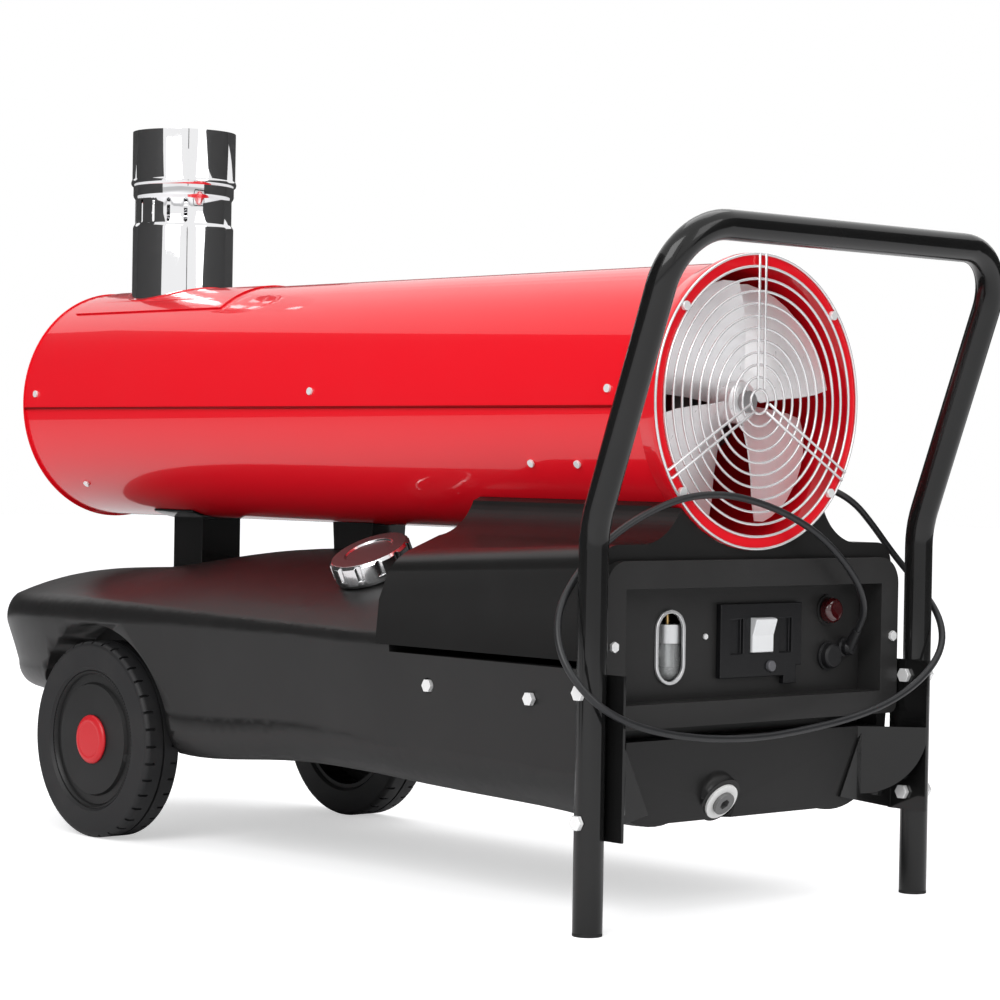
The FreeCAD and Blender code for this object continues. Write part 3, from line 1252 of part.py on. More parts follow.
def make_bracket(label, sign):
    """A bent plate: a web on the tank's end, a side that the leg is bolted to and a corner plate between them."""
    back = tank_end + run_gap
    outer = (leg_y - tube_r) * sign
    inner = (leg_y - tube_r - bracket_sheet) * sign
    body = new_body("bracket_plates")
    low, high = (outer, inner) if sign < 0 else (inner, outer)
    side = body_sketch(body, "XY_Plane", [box_loop(back, bracket_front, low, high)], bracket_foot)
    pad(body, side, bracket_top - bracket_foot)
    web_top = well_z - 4
    far = outer - bracket_web * sign
    span = bracket_front - back
    near = outer - span * sign
    tip = bracket_foot + web_rise
    web = body_sketch(body, "YZ_Plane", [[(far, tip), (outer, bracket_foot), (outer, web_top), (near, web_top)]], back)
    pad(body, web, bracket_sheet)
    for height in (bolt_high, bolt_low):
        hole = body_sketch(body, "XZ_Plane", [(leg_x, height, bolt_r + fit_gap)], -(inner + outer) / 2)
        pocket(body, hole, 4 * bracket_sheet, both_ways=True)
    spots = [(outer - 22 * sign, web_top - 22), (outer - 22 * sign, web_top - 48)]
    holes = [(y, z, small_screw_r + fit_gap) for y, z in spots]
    pocket(body, body_sketch(body, "YZ_Plane", holes, back + bracket_sheet + 1), bracket_sheet + 2)
    reach = span * math.sqrt(2)
    plate = rod(back, near, well_z, "z", reach, bracket_sheet)
    place(plate, back, near, well_z, Rotation(Vector(0, 0, 1), Vector(1, -sign, 0)))
    start, end = (near - 2 * bracket_sheet, outer) if sign > 0 else (outer, near + 2 * bracket_sheet)
    corner = common(plate, block(back, bracket_front, start, end, well_z - reach - 1, well_z))
    keep(fuse([body, corner]), label)
    for y, z in spots:
        HOUSING_SCREWS.append(hex_bolt(back + bracket_sheet, y, z, "x", small_screw_r, bracket_sheet,
                                       small_head_r, small_head_h))


HOUSING_SCREWS = []


# ---------------------------------------------------------------------------------- burner housing

def cover_loop(inset):
    """Outline of the burner cover across the drum, or of its inside where it is drawn in."""
    hug = lower_r + fit_gap + inset
    top_y = hug * sine(cradle_angle)
    top_z = axis_z - hug * cosine(cradle_angle)
    half = cover_half - inset
    soft = 22
    shoulder = shoulder_half - inset
    top = shoulder_z - inset
    foot = cheek_foot - inset
    low = cover_foot - inset * 2
    edge = top_y + 9 - inset * 2.4
    edge_z = top_z - 4 - inset
    rise = (edge_z - top) * 0.2
    right = [(half, low), (half - 4, cover_crease), (shoulder, top - soft, (shoulder - soft * 0.29, top - soft * 0.29)),
             (shoulder - soft, top), (foot, top, (edge + (foot - edge) * 0.55, top + rise)), (edge, edge_z)]
    left = [(-edge, edge_z, (-(edge + (foot - edge) * 0.55), top + rise)), (-foot, top),
            (-(shoulder - soft), top, (-(shoulder - soft * 0.29), top - soft * 0.29)), (-shoulder, top - soft),
            (-(half - 4), cover_crease), (-half, low)]
    cradle = (0, axis_z - hug)
    return right + [(top_y, top_z, cradle), (-top_y, top_z)] + left


def make_cover(hull):
    """Burner cover: a shell that cradles the drum and fits the tank, open below and behind the panel."""
    end = fan_x + run_gap
    body = new_body("cover_shell")
    pad(body, body_sketch(body, "YZ_Plane", [cover_loop(as_size(0))], cover_start), end - cover_start)
    inside = body_sketch(body, "YZ_Plane", [cover_loop(cover_wall)], end - cover_wall)
    pocket(body, inside, end - cover_start - 2 * cover_wall)
    door = [(-door_half, cover_foot - 3 * cover_wall), (door_half, cover_foot - 3 * cover_wall), (door_half, door_top),
            (-door_half, door_top)]
    pocket(body, body_sketch(body, "YZ_Plane", [door], end + 1), 3 * cover_wall)
    ring_cut = body_sketch(body, "YZ_Plane", [(0, axis_z, ring_r + fit_gap)], end + 1)
    pocket(body, ring_cut, ring_depth + 2)
    pipe_cut = body_sketch(body, "XY_Plane", [(pipe_x, 0, pipe_r + 3)], axis_z)
    pocket(body, pipe_cut, axis_z - shoulder_z)
    keep(cut(body, hull), "burner_cover")


def rounded_panel(half, foot, top, upper, lower):
    """Outline of the panel with round corners."""
    turn_in = 1 - math.sqrt(0.5)
    return [(-half + lower, foot), (half - lower, foot, (half - lower * turn_in, foot + lower * turn_in)),
            (half, foot + lower), (half, top - upper, (half - upper * turn_in, top - upper * turn_in)),
            (half - upper, top), (-half + upper, top, (-half + upper * turn_in, top - upper * turn_in)),
            (-half, top - upper), (-half, foot + lower, (-half + lower * turn_in, foot + lower * turn_in))]


def make_panel():
    """Control panel: a bezel with a deep recess, and the plate behind it with its openings."""
    frame = new_body("panel_frame")
    back = fan_x + 2 * run_gap
    outline = rounded_panel(panel_half, panel_foot, panel_top, panel_corner, 10)
    holes = [(screw_y * side, screw_z, small_screw_r + fit_gap) for side in (-1, 1)]
    pad(frame, body_sketch(frame, "YZ_Plane", [outline] + holes, back), panel_face - back)
    lip = panel_lip
    tray = box_loop(-recess_half - lip, recess_half + lip, recess_foot - lip, recess_top + lip)
    pad(frame, body_sketch(frame, "YZ_Plane", [tray], plate_x), back - plate_x)
    recess = box_loop(-recess_half, recess_half, recess_foot, recess_top)
    pocket(frame, body_sketch(frame, "YZ_Plane", [recess], panel_face + 1), recess_depth + 2)
    keep(frame, "panel_frame")
    plate = new_body("panel_plate")
    pad(plate, body_sketch(plate, "YZ_Plane", [tray], plate_back), plate_sheet - run_gap)
    gap = fit_gap + 0.7
    rocker_hole = box_loop(switch_y - rocker_half - gap, switch_y + rocker_half + gap,
                           switch_z - rocker_tall - gap, switch_z + rocker_tall + gap)
    holes = [capsule(window_y, window_z, window_half, window_tall), rocker_hole,
             (button_y, button_z, button_r + fit_gap), (lamp_y, lamp_z, lamp_r * 0.6 + fit_gap),
             (socket_y, socket_z, socket_r * 0.68 + fit_gap), (gland_y, gland_z, gland_r * 0.78 + fit_gap),
             (plate_screw_y, switch_z, plate_screw_r + fit_gap)]
    pocket(plate, body_sketch(plate, "YZ_Plane", holes, plate_x + 1), 2 * plate_sheet + 1)
    collar = [(lamp_y, lamp_z, lamp_r + lamp_collar), (lamp_y, lamp_z, lamp_r + fit_gap)]
    pad(plate, body_sketch(plate, "YZ_Plane", collar, plate_back), plate_sheet + lamp_collar)
    keep(plate, "panel_plate")
    make_controls()


def capsule(y, z, half, tall):
    """Outline of an upright slot with round ends."""
    straight = tall - half
    return [(y + half, z - straight), (y + half, z + straight, (y, z + tall)), (y - half, z + straight),
            (y - half, z - straight, (y, z - tall))]


def make_controls():
    """What stands on the panel plate: trim, filter, switch group, buttons, socket and gland."""
    trim = slab("window_trim", [capsule(window_y, window_z, window_half + trim_width, window_tall + trim_width),
                                capsule(window_y, window_z, window_half - 0.5, window_tall - 0.5)],
                "YZ_Plane", plate_x, plate_x + trim_proud)
    keep(trim, "window_trim")
    make_escutcheon()
    rocker = new_body("rocker_switch")
    edge = rocker_proud
    sweep = root(rocker_tall * rocker_tall - edge * edge)
    behind = rocker_tall * 0.5
    side = root(rocker_tall * rocker_tall - behind * behind)
    outline = [(-behind, -side, (0, -rocker_tall)), (edge, -sweep), (edge - 2.5, 0), (edge, sweep, (0, rocker_tall)),
               (-behind, side)]
    pad(rocker, body_sketch(rocker, "XZ_Plane", [outline]), 2 * rocker_half, both_ways=True)
    place(rocker, plate_x + escutcheon_proud, switch_y, switch_z, Rotation(Vector(0, 1, 0), number(rocker_tilt)))
    bind(rocker, "Placement.Rotation.Angle", rocker_tilt)
    keep(rocker, "rocker_switch")
    face = escutcheon_proud
    out = face + button_travel + 1
    turned("reset_button", [(0, -8), (button_r - 1.5, -8), (button_r - 1.5, face - button_travel - 2), (button_r, face - button_travel - 2),
                            (button_r, out - 0.8), (button_r - 0.8, out), (0, out)], plate_x, button_y, button_z, "x")
    skirt = lamp_travel + fit_gap
    turned("reset_lamp",
           [(0, -10), (lamp_r * 0.6, -10), (lamp_r * 0.6, skirt), (lamp_r, skirt),
            (lamp_r, lamp_proud * 0.72, (lamp_r * 0.84, lamp_proud * 0.92)), (lamp_r * 0.5, lamp_proud),
            (0, lamp_proud)],
           plate_x, lamp_y, lamp_z, "x")
    turned("thermostat_socket", [(0, -12), (socket_r * 0.68, -12), (socket_r * 0.68, 0), (socket_r + 2, 0), (socket_r + 2, 3),
                                 (socket_r, 3), (socket_r, 9), (socket_r - 2, 11), (0, 11)], plate_x, socket_y, socket_z, "x")
    make_gland()
    make_filter()
    for side in (-1, 1):
        HOUSING_SCREWS.append(hex_bolt(panel_face, screw_y * side, screw_z, "x", small_screw_r, 5,
                                       small_head_r, small_head_h))
    HOUSING_SCREWS.append(hex_bolt(plate_x, plate_screw_y, switch_z, "x", plate_screw_r, plate_sheet, 3, 2))


def make_gland():
    """Cord gland with a tapered strain relief that leans up and out of the panel."""
    neck = gland_r * 0.78
    nut = new_body("gland_nut")
    revolve(nut, body_sketch(nut, "XZ_Plane", [[(0, -10), (neck, -10), (neck, 0), (gland_r + 2, 0), (gland_r + 2, 4),
                                                (gland_r, 5), (gland_r, 10), (neck, 13), (0, 13)]]))
    place(nut, plate_x, gland_y, gland_z, TURNS["x"])
    relief = new_body("strain_relief")
    revolve(relief, body_sketch(relief, "XZ_Plane", [[(0, 0), (neck, 0), (cord_r + 0.8, strain_length),
                                                      (0, strain_length)]]))
    place(relief, plate_x + relief_start, gland_y, gland_z, relief_turn())
    keep(fuse([nut, relief]), "cord_gland")


def relief_turn():
    """Rotation from straight up to the way the strain relief points."""
    return Rotation(Vector(0, 0, 1), -number(relief_swing)) * Rotation(Vector(0, 1, 0), 90 - number(relief_lift))


def relief_tip():
    """Where the cord leaves its strain relief."""
    reach = relief_turn().multVec(Vector(0, 0, number(strain_length)))
    return point(plate_x + relief_start, gland_y, gland_z) + reach


def make_escutcheon():
    """Raised switch surround with a shallow tray on each side of the rocker and a tab below."""
    body = new_body("switch_surround")
    low = switch_z - switch_tall
    high = switch_z + switch_tall
    tab = tab_half
    outline = [(switch_y - switch_half, low - 10), (tab_y - tab, low - 10), (tab_y - tab, low - 18),
               (tab_y + tab, low - 18), (tab_y + tab, low), (switch_y + switch_half, low), (switch_y + switch_half, high),
               (switch_y - switch_half, high)]
    pad(body, body_sketch(body, "YZ_Plane", [outline], plate_x), escutcheon_proud)
    well = box_loop(switch_y - rocker_half - 0.6, switch_y + rocker_half + 0.6, switch_z - rocker_tall - 0.4,
                    switch_z + rocker_tall + 0.4)
    through = [well, (button_y, button_z, button_r + fit_gap)]
    pocket(body, body_sketch(body, "YZ_Plane", through, plate_x + escutcheon_proud + 1), 2 * escutcheon_proud)
    trays = [box_loop(switch_y + side * 35 - 9, switch_y + side * 35 + 9, switch_z - 18, switch_z + 16) for side in (-1, 1)]
    pocket(body, body_sketch(body, "YZ_Plane", trays, plate_x + escutcheon_proud + 1), escutcheon_proud - 1)
    keep(body, "switch_surround")


def make_filter():
    """Fuel filter behind the sight window: metal head with a glass bowl, on its bracket."""
    x = plate_back - filter_x
    y = window_y + filter_side
    seat = window_z + 3
    head = new_body("filter_casting")
    arm = bowl_r * 1.15
    pad(head, body_sketch(head, "XY_Plane", [(x, y, arm)], seat), 18)
    pad(head, body_sketch(head, "XY_Plane", [box_loop(x, plate_back, window_y + window_half + 3, window_y + window_half + 9)],
                          seat + 2), 10)
    link = body_sketch(head, "XY_Plane", [box_loop(x - 3, x + 3, y, window_y + window_half + 9)], seat + 2)
    pad(head, link, 10)
    screen = tube_outline(bowl_r * 0.35, bowl_r * 0.5, -bowl_height * 0.6, 0)
    mesh = new_body("filter_screen")
    revolve(mesh, body_sketch(mesh, "XZ_Plane", [screen]))
    place(mesh, x, y, seat, TURNS["z"])
    keep(fuse([head, mesh]), "filter_head")
    wall = 2
    turned("filter_bowl",
           [(0, -bowl_height), (bowl_r * 0.4, -bowl_height, (bowl_r * 0.84, -bowl_height * 0.92)),
            (bowl_r, -bowl_height * 0.72), (bowl_r, 0), (bowl_r - wall, 0),
            (bowl_r - wall, -bowl_height * 0.7, (bowl_r * 0.76, -bowl_height * 0.86)),
            (bowl_r * 0.4, wall - bowl_height), (0, wall - bowl_height)],
           x, y, seat - fit_gap / 3, "z")
    rise = point(x - suction_reach, y, 0)
    floor = number(well_z)
    mouth = number(seat) + 9
    reach = number(x) - number(arm)
    suction = bent_solid("suction_pipe", [Vector(rise.x, rise.y, floor), Vector(rise.x, rise.y, mouth), Vector(reach, rise.y, mouth)],
              [12], number(pipe_r))
    up = number(seat) + 18
    top = up + 22
    run = number(pipe_x)
    pump_foot = number(axis_z - pump_r)
    feed = bent_solid("feed_pipe", [Vector(number(x), rise.y, up), Vector(number(x), rise.y, top), Vector(run, 0, top),
                            Vector(run, 0, pump_foot)], [12, 15], number(pipe_r))
    group("fuel_pipes", [suction, feed])


def make_electrics():
    """Ignition transformer and burner control box on the well's floor."""
    base = well_z + fit_gap + base_sheet
    edge = plate_back - 6
    side = end_half - cheek - 3
    tray = new_body("housing_base")
    pad(tray, body_sketch(tray, "XZ_Plane", [[(well_x + 3, well_z + fit_gap), (edge, well_z + fit_gap),
                                              (edge, recess_foot - panel_lip - 1), (edge - base_sheet, recess_foot - panel_lip - 1),
                                              (edge - base_sheet, base), (well_x + 3, base)]]), 2 * side, both_ways=True)
    pipe_hole = body_sketch(tray, "XY_Plane", [(plate_back - filter_x - suction_reach, window_y + filter_side, pipe_r + 1)],
                            base + 1)
    pocket(tray, pipe_hole, base_sheet + 2)
    keep(tray, "housing_base")
    case = slab("ignition_transformer", [box_loop(well_x + 30, well_x + 120, 30, 100)], "XY_Plane", base, base + 62)
    keep(case, "ignition_transformer")
    keep(slab("burner_control", [box_loop(plate_back - 100, plate_back - 40, 10, 120)], "XY_Plane", base, base + 92),
         "burner_control")


def make_tank_screws():
    """Screws in the tank's sides, at the same places left and right."""
    for x, height, seat, sign in tank_screw_spots():
        HOUSING_SCREWS.append(hex_bolt(x, seat * sign, height, "y" if sign > 0 else "-y", bolt_r, 6,
                                       head_bolt_r * 0.9, head_bolt_h))


# -------------------------------------------------------------------------------------------- cord

def make_cord():
    """Power cord from its gland, round both legs, to the plug behind the drum."""
    lead = relief_turn().multVec(Vector(0, 0, 15))
    rest = point(plug_x, plug_y, shoulder_z + plug_r + fit_gap)
    route = [relief_tip(), relief_tip() + lead, Vector(517, 141, 295), Vector(523, 125, 315),
             Vector(525, 102, 337), Vector(523, 72, 361), Vector(520, 36, 380), Vector(516, -8, 395),
             Vector(513, -58, 404), Vector(509, -110, 401), Vector(502, -158, 384), Vector(492, -198, 358),
             Vector(487, -230, 326), Vector(492, -257, 293), Vector(511, -270, 256), Vector(535, -259, 221),
             Vector(548, -226, 198), Vector(549, -172, 184), Vector(548, -108, 176), Vector(548, -42, 174),
             Vector(548, 26, 179), Vector(548, 92, 187), Vector(549, 150, 201), Vector(549, 199, 224),
             Vector(542, 235, 252), Vector(521, 254, 282), Vector(491, 254, 313), Vector(471, 237, 344),
             Vector(466, 211, 373), Vector(463, 184, 397), Vector(450, 158, 411), Vector(427, 144, 415),
             Vector(399, 147, 407), Vector(376, 156, 393), Vector(356, 162, 380), rest + Vector(18, 0, 0),
             rest]
    radii = [auto_radius(route, index) for index in range(1, len(route) - 1)]
    print("cord radii", " ".join("%.0f" % radius for radius in radii))
    print("cord runs", " ".join("%.0f" % (b - a).Length for a, b in zip(route, route[1:])))
    bent_tube("power_cord", route, radii, number(cord_r))
    end = route[-1]
    plug = new_body("cord_plug")
    face = plug_length
    revolve(plug, body_sketch(plug, "XZ_Plane", [[(0, 0), (5, 0), (7, 14), (12, 20), (plug_r, 26), (plug_r, face - 2),
                                                  (plug_r - 2, face), (0, face)]]))
    pins = body_sketch(plug, "XY_Plane", [(0, pin_gap / 2, pin_r), (0, -pin_gap / 2, pin_r)], face)
    pad(plug, pins, pin_length)
    place(plug, end.x, end.y, end.z, TURNS["-x"])
    keep(plug, "cord_plug")


make_drum()
make_flue()
make_furnace()
make_fan()
make_motor()
make_guard()
tank_outside = make_tank()
make_wheels(tank_outside)
make_handle()
make_cover(tank_outside)
make_panel()
make_electrics()
make_tank_screws()
group("housing_screws", HOUSING_SCREWS)
make_cord()

doc.recompute()
for thing in doc.Objects:
    if "Invalid" in thing.State or "Error" in thing.State:
        raise RuntimeError("%s failed: %s" % (thing.Name, thing.State))
os.makedirs("parts", exist_ok=True)
for piece in PARTS:
    shape = piece.Shape
    if shape.isNull() or not shape.isValid():
        raise RuntimeError("%s has no valid shape" % piece.Label)
    print("%-24s solids %d volume %.0f" % (piece.Label, len(shape.Solids), shape.Volume))
    shape.exportStep("parts/%s.step" % piece.Label)
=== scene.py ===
"""Dressed model of a mobile forced air heater: a red drum with its fan and flue over a black tank on wheels.

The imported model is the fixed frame.  Every class below is one sub-assembly: it holds its own sizes and
finishes, makes its pieces and reports them, and main() builds them in order.
"""

from __future__ import annotations

import json
import logging
import math
from collections.abc import Callable
from dataclasses import dataclass
from enum import Enum

import bpy
from mathutils import Matrix, Vector

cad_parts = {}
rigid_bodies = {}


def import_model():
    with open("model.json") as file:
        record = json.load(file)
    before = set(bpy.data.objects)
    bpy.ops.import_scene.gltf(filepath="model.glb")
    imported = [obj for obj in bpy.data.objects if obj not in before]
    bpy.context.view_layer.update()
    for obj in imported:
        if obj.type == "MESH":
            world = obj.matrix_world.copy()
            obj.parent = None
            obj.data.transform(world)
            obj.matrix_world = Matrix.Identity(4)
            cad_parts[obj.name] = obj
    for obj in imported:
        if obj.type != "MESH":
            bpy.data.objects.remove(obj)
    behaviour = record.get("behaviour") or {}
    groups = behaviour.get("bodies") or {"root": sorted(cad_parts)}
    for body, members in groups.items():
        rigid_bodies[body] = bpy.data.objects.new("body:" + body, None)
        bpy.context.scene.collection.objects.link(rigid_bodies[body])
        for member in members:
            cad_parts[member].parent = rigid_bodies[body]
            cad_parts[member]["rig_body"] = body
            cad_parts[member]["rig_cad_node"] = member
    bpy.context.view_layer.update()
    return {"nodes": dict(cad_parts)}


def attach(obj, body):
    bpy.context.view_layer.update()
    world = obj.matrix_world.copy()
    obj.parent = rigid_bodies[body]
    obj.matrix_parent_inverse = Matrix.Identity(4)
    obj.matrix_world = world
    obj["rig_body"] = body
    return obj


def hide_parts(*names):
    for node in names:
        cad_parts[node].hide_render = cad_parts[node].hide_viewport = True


LOG = logging.getLogger("heater")
Colour = tuple[float, float, float]
Point = tuple[float, float, float]
Turns = tuple[tuple[float, int], ...]

MM = 0.001
TOUCH = 0.02 * MM  # corners nearer than this are one place

RING_SIDES = 10  # round a guard ring's wire
WIRE_SIDES = 12  # round a straight wire
LARGE_FACES = 70  # how far large faces lead the shading

NOISE_ROUGHNESS = 0.55
FINE_SHARE = 0.35  # of the fine streaks in the relief of drawn metal
SPECK_SCALE = 420.0  # dust specks, per metre
PATCH_RANGE = (0.5, 0.75)  # noise values between which a handled patch fades in
FLAG_TONE = (0.06, 0.06, 0.06)


def fill(node: bpy.types.Node, values: dict[str, float | tuple[float, ...]]) -> None:
    """Set a node's inputs by their labels."""
    for label, value in values.items():
        node.inputs[label].default_value = value


# ---------------------------------------- effects
class Effects:
    """Shader node groups that several finishes share, each built once."""

    def __init__(self) -> None:
        """Build every group."""
        self.grain = self._grain()
        self.streaks = self._streaks()
        self.handling = self._handling()

    @staticmethod
    def _new_group(name: str, inputs: dict[str, float], outputs: tuple[str, ...]) -> bpy.types.NodeTree:
        """Start a group with its sockets.

        Args:
            name: The group's name.
            inputs: Name and default of each number that it takes.
            outputs: Names of the values that it puts out.

        Returns:
            The new node group, with its two end nodes.
        """
        group = bpy.data.node_groups.new(name, "ShaderNodeTree")
        for label, value in inputs.items():
            socket = group.interface.new_socket(label, in_out="INPUT", socket_type="NodeSocketFloat")
            socket.default_value = value
        for label in outputs:
            group.interface.new_socket(label, in_out="OUTPUT", socket_type="NodeSocketFloat")
        group.nodes.new("NodeGroupInput").name = "in"
        group.nodes.new("NodeGroupOutput").name = "out"
        return group

    @staticmethod
    def _noise(group: bpy.types.NodeTree, scale: str | float, detail: float,
               stretch: Point | None = None) -> bpy.types.Node:
        """Add noise on the piece's own place.

        Args:
            group: The group that gets it.
            scale: Name of the group's input that sets the scale, or a number.
            detail: Octaves of the noise.
            stretch: Scale along each axis before the noise, if it isn't even.

        Returns:
            The noise node.
        """
        nodes, links = group.nodes, group.links
        place = nodes.new("ShaderNodeTexCoord")
        noise = nodes.new("ShaderNodeTexNoise")
        fill(noise, {"Detail": detail, "Roughness": NOISE_ROUGHNESS})
        source = place.outputs["Object"]
        if stretch:
            mapping = nodes.new("ShaderNodeMapping")
            fill(mapping, {"Scale": stretch})
            links.new(source, mapping.inputs["Vector"])
            source = mapping.outputs["Vector"]
        links.new(source, noise.inputs["Vector"])
        if isinstance(scale, str):
            links.new(nodes["in"].outputs[scale], noise.inputs["Scale"])
        else:
            fill(noise, {"Scale": scale})
        return noise

    def _grain(self) -> bpy.types.NodeTree:
        """Moulded or sprayed grain: Height for a bump, Tone for a slow change over the surface.

        Returns:
            The node group.
        """
        sizes = {"Fine": 900.0, "Broad": 9.0, "Broad Share": 0.3}
        group = self._new_group("surface_grain", sizes, ("Height", "Tone"))
        nodes, links = group.nodes, group.links
        fine = self._noise(group, "Fine", 2.0)
        broad = self._noise(group, "Broad", 3.0)
        mix = nodes.new("ShaderNodeMix")
        links.new(nodes["in"].outputs["Broad Share"], mix.inputs["Factor"])
        links.new(fine.outputs["Fac"], mix.inputs["A"])
        links.new(broad.outputs["Fac"], mix.inputs["B"])
        links.new(mix.outputs["Result"], nodes["out"].inputs["Height"])
        links.new(broad.outputs["Fac"], nodes["out"].inputs["Tone"])
        return group

    def _streaks(self) -> bpy.types.NodeTree:
        """Rolling and polishing streaks along Z for drawn metal: Height and Tone.

        Returns:
            The node group.
        """
        group = self._new_group("drawn_streaks", {"Fine": 260.0, "Broad": 14.0}, ("Height", "Tone"))
        nodes, links = group.nodes, group.links
        fine = self._noise(group, "Fine", 3.0, (1.0, 1.0, 0.03))
        broad = self._noise(group, "Broad", 2.0, (1.0, 1.0, 0.3))
        blend = nodes.new("ShaderNodeMath")
        blend.operation = "MULTIPLY_ADD"
        blend.inputs[1].default_value = FINE_SHARE
        links.new(fine.outputs["Fac"], blend.inputs[0])
        links.new(broad.outputs["Fac"], blend.inputs[2])
        links.new(blend.outputs["Value"], nodes["out"].inputs["Height"])
        links.new(fine.outputs["Fac"], nodes["out"].inputs["Tone"])
        return group

    def _handling(self) -> bpy.types.NodeTree:
        """Dust and finger marks in soft patches: Mask is 1 where the surface is dull.

        Returns:
            The node group.
        """
        group = self._new_group("handling_marks", {"Size": 11.0, "Amount": 0.35}, ("Mask",))
        nodes, links = group.nodes, group.links
        patches = self._noise(group, "Size", 5.0)
        specks = self._noise(group, SPECK_SCALE, 1.0)
        spread = nodes.new("ShaderNodeMapRange")
        fill(spread, {"From Min": PATCH_RANGE[0], "From Max": PATCH_RANGE[1]})
        links.new(patches.outputs["Fac"], spread.inputs["Value"])
        soft = nodes.new("ShaderNodeMath")
        soft.operation = "MULTIPLY"
        links.new(spread.outputs["Result"], soft.inputs[0])
        links.new(specks.outputs["Fac"], soft.inputs[1])
        final = nodes.new("ShaderNodeMath")
        final.operation = "MULTIPLY"
        final.use_clamp = True
        links.new(soft.outputs["Value"], final.inputs[0])
        links.new(nodes["in"].outputs["Amount"], final.inputs[1])
        links.new(final.outputs["Value"], nodes["out"].inputs["Mask"])
        return group


class Pattern(Enum):
    """Which relief a finish has."""

    GRAIN = "grain"
    STREAKS = "streaks"


@dataclass(frozen=True)
class Finish:
    """One finish of the heater, made as one material.

    Attributes:
        name: The material's name.
        slot: Name of the material slot that the finish belongs to; not used.
        colour: Base colour, linear.
        worn: Colour that dust and handling add.
        rough: Roughness where the surface is clean and where it is dull.
        metal: 1 for bare metal.
        coat: Weight and roughness of a clear coat.
        pattern: Relief of the surface.
        fine: Scale of the relief, per metre.
        relief: Bump strength and depth in metres.
        marks: Amount of handling marks.
        clear: Transmission, 0 to 1.
        specular: Specular level.
    """

    name: str
    slot: str
    colour: Colour
    worn: Colour
    rough: tuple[float, float]
    metal: float = 0.0
    coat: tuple[float, float] = (0.0, 0.03)
    pattern: Pattern = Pattern.GRAIN
    fine: float = 900.0
    relief: tuple[float, float] = (0.1, 0.0002)
    marks: float = 0.35
    clear: float = 0.0
    specular: float = 0.5

    def material(self, effects: Effects) -> bpy.types.Material:
        """Return this finish's material, made at its first use.

        Args:
            effects: The shared node groups.

        Returns:
            The material.
        """
        label = self.name + "_finish"
        known = bpy.data.materials.get(label)
        if known:
            return known
        made = bpy.data.materials.new(label)
        made.use_nodes = True
        nodes, links = made.node_tree.nodes, made.node_tree.links
        shader = nodes["Principled BSDF"]
        fill(shader, {"Metallic": self.metal, "Coat Weight": self.coat[0], "Coat Roughness": self.coat[1],
                      "Transmission Weight": self.clear, "Specular IOR Level": self.specular})
        relief = nodes.new("ShaderNodeGroup")
        relief.node_tree = effects.grain if self.pattern is Pattern.GRAIN else effects.streaks
        fill(relief, {"Fine": self.fine})
        marks = nodes.new("ShaderNodeGroup")
        marks.node_tree = effects.handling
        fill(marks, {"Amount": self.marks})
        tint = nodes.new("ShaderNodeMix")
        tint.data_type = "RGBA"
        fill(tint, {"A": (*self.colour, 1.0), "B": (*self.worn, 1.0)})
        links.new(marks.outputs["Mask"], tint.inputs["Factor"])
        links.new(tint.outputs["Result"], shader.inputs["Base Color"])
        rough = nodes.new("ShaderNodeMapRange")
        fill(rough, {"To Min": self.rough[0], "To Max": self.rough[1]})
        links.new(relief.outputs["Tone"], rough.inputs["Value"])
        links.new(rough.outputs["Result"], shader.inputs["Roughness"])
        bump = nodes.new("ShaderNodeBump")
        fill(bump, {"Strength": self.relief[0], "Distance": self.relief[1]})
        links.new(relief.outputs["Height"], bump.inputs["Height"])
        links.new(bump.outputs["Normal"], shader.inputs["Normal"])
        return made


RED_ENAMEL = Finish(
    "red_enamel", "red_enamel", (0.80, 0.005, 0.015), (0.76, 0.03, 0.035), (0.26, 0.38), coat=(0.8, 0.03),
    fine=60.0, relief=(0.03, 0.0002), marks=0.12, specular=0.1)
# Dark red of the seam hems: painted shade standing in for the shadow under the upper shell's lap.
SEAM_SHADE_RED = Finish(
    "seam_shade_red", "red_enamel", (0.22, 0.0006, 0.002), (0.25, 0.01, 0.01), (0.4, 0.5), specular=0.05)
FLUE_STEEL = Finish(
    "flue_steel", "flue_steel", (0.86, 0.86, 0.87), (0.66, 0.65, 0.64), (0.02, 0.06), metal=1.0,
    pattern=Pattern.STREAKS, fine=160.0, relief=(0.02, 0.0001), marks=0.2)
FURNACE_STEEL = Finish(
    "furnace_steel", "furnace_steel", (0.30, 0.28, 0.27), (0.20, 0.17, 0.15), (0.38, 0.6), metal=1.0,
    fine=300.0, relief=(0.25, 0.0004), marks=0.8)
ZINC_WIRE = Finish(
    "zinc_wire", "zinc_wire", (0.84, 0.84, 0.85), (0.62, 0.62, 0.62), (0.16, 0.30), metal=0.55, fine=700.0,
    relief=(0.1, 0.0001))
ZINC_SCREW = Finish(
    "zinc_screw", "zinc_screw", (0.93, 0.93, 0.93), (0.74, 0.74, 0.74), (0.18, 0.34), metal=0.3, fine=900.0,
    relief=(0.1, 0.0001))
FAN_ALUMINIUM = Finish(
    "fan_aluminium", "fan_aluminium", (0.88, 0.89, 0.90), (0.66, 0.66, 0.66), (0.22, 0.40), metal=0.45,
    pattern=Pattern.STREAKS, fine=150.0, relief=(0.15, 0.0003))
MOTOR_GREY = Finish(
    "motor_grey", "motor_grey", (0.03, 0.03, 0.033), (0.10, 0.09, 0.08), (0.35, 0.55), fine=500.0)
PUMP_CASTING = Finish(
    "pump_casting", "pump_casting", (0.52, 0.53, 0.54), (0.35, 0.34, 0.33), (0.35, 0.6), metal=1.0,
    fine=900.0, relief=(0.3, 0.0003), marks=0.6)
FUEL_BRASS = Finish(
    "fuel_brass", "fuel_brass", (0.72, 0.48, 0.20), (0.45, 0.30, 0.16), (0.22, 0.4), metal=1.0)
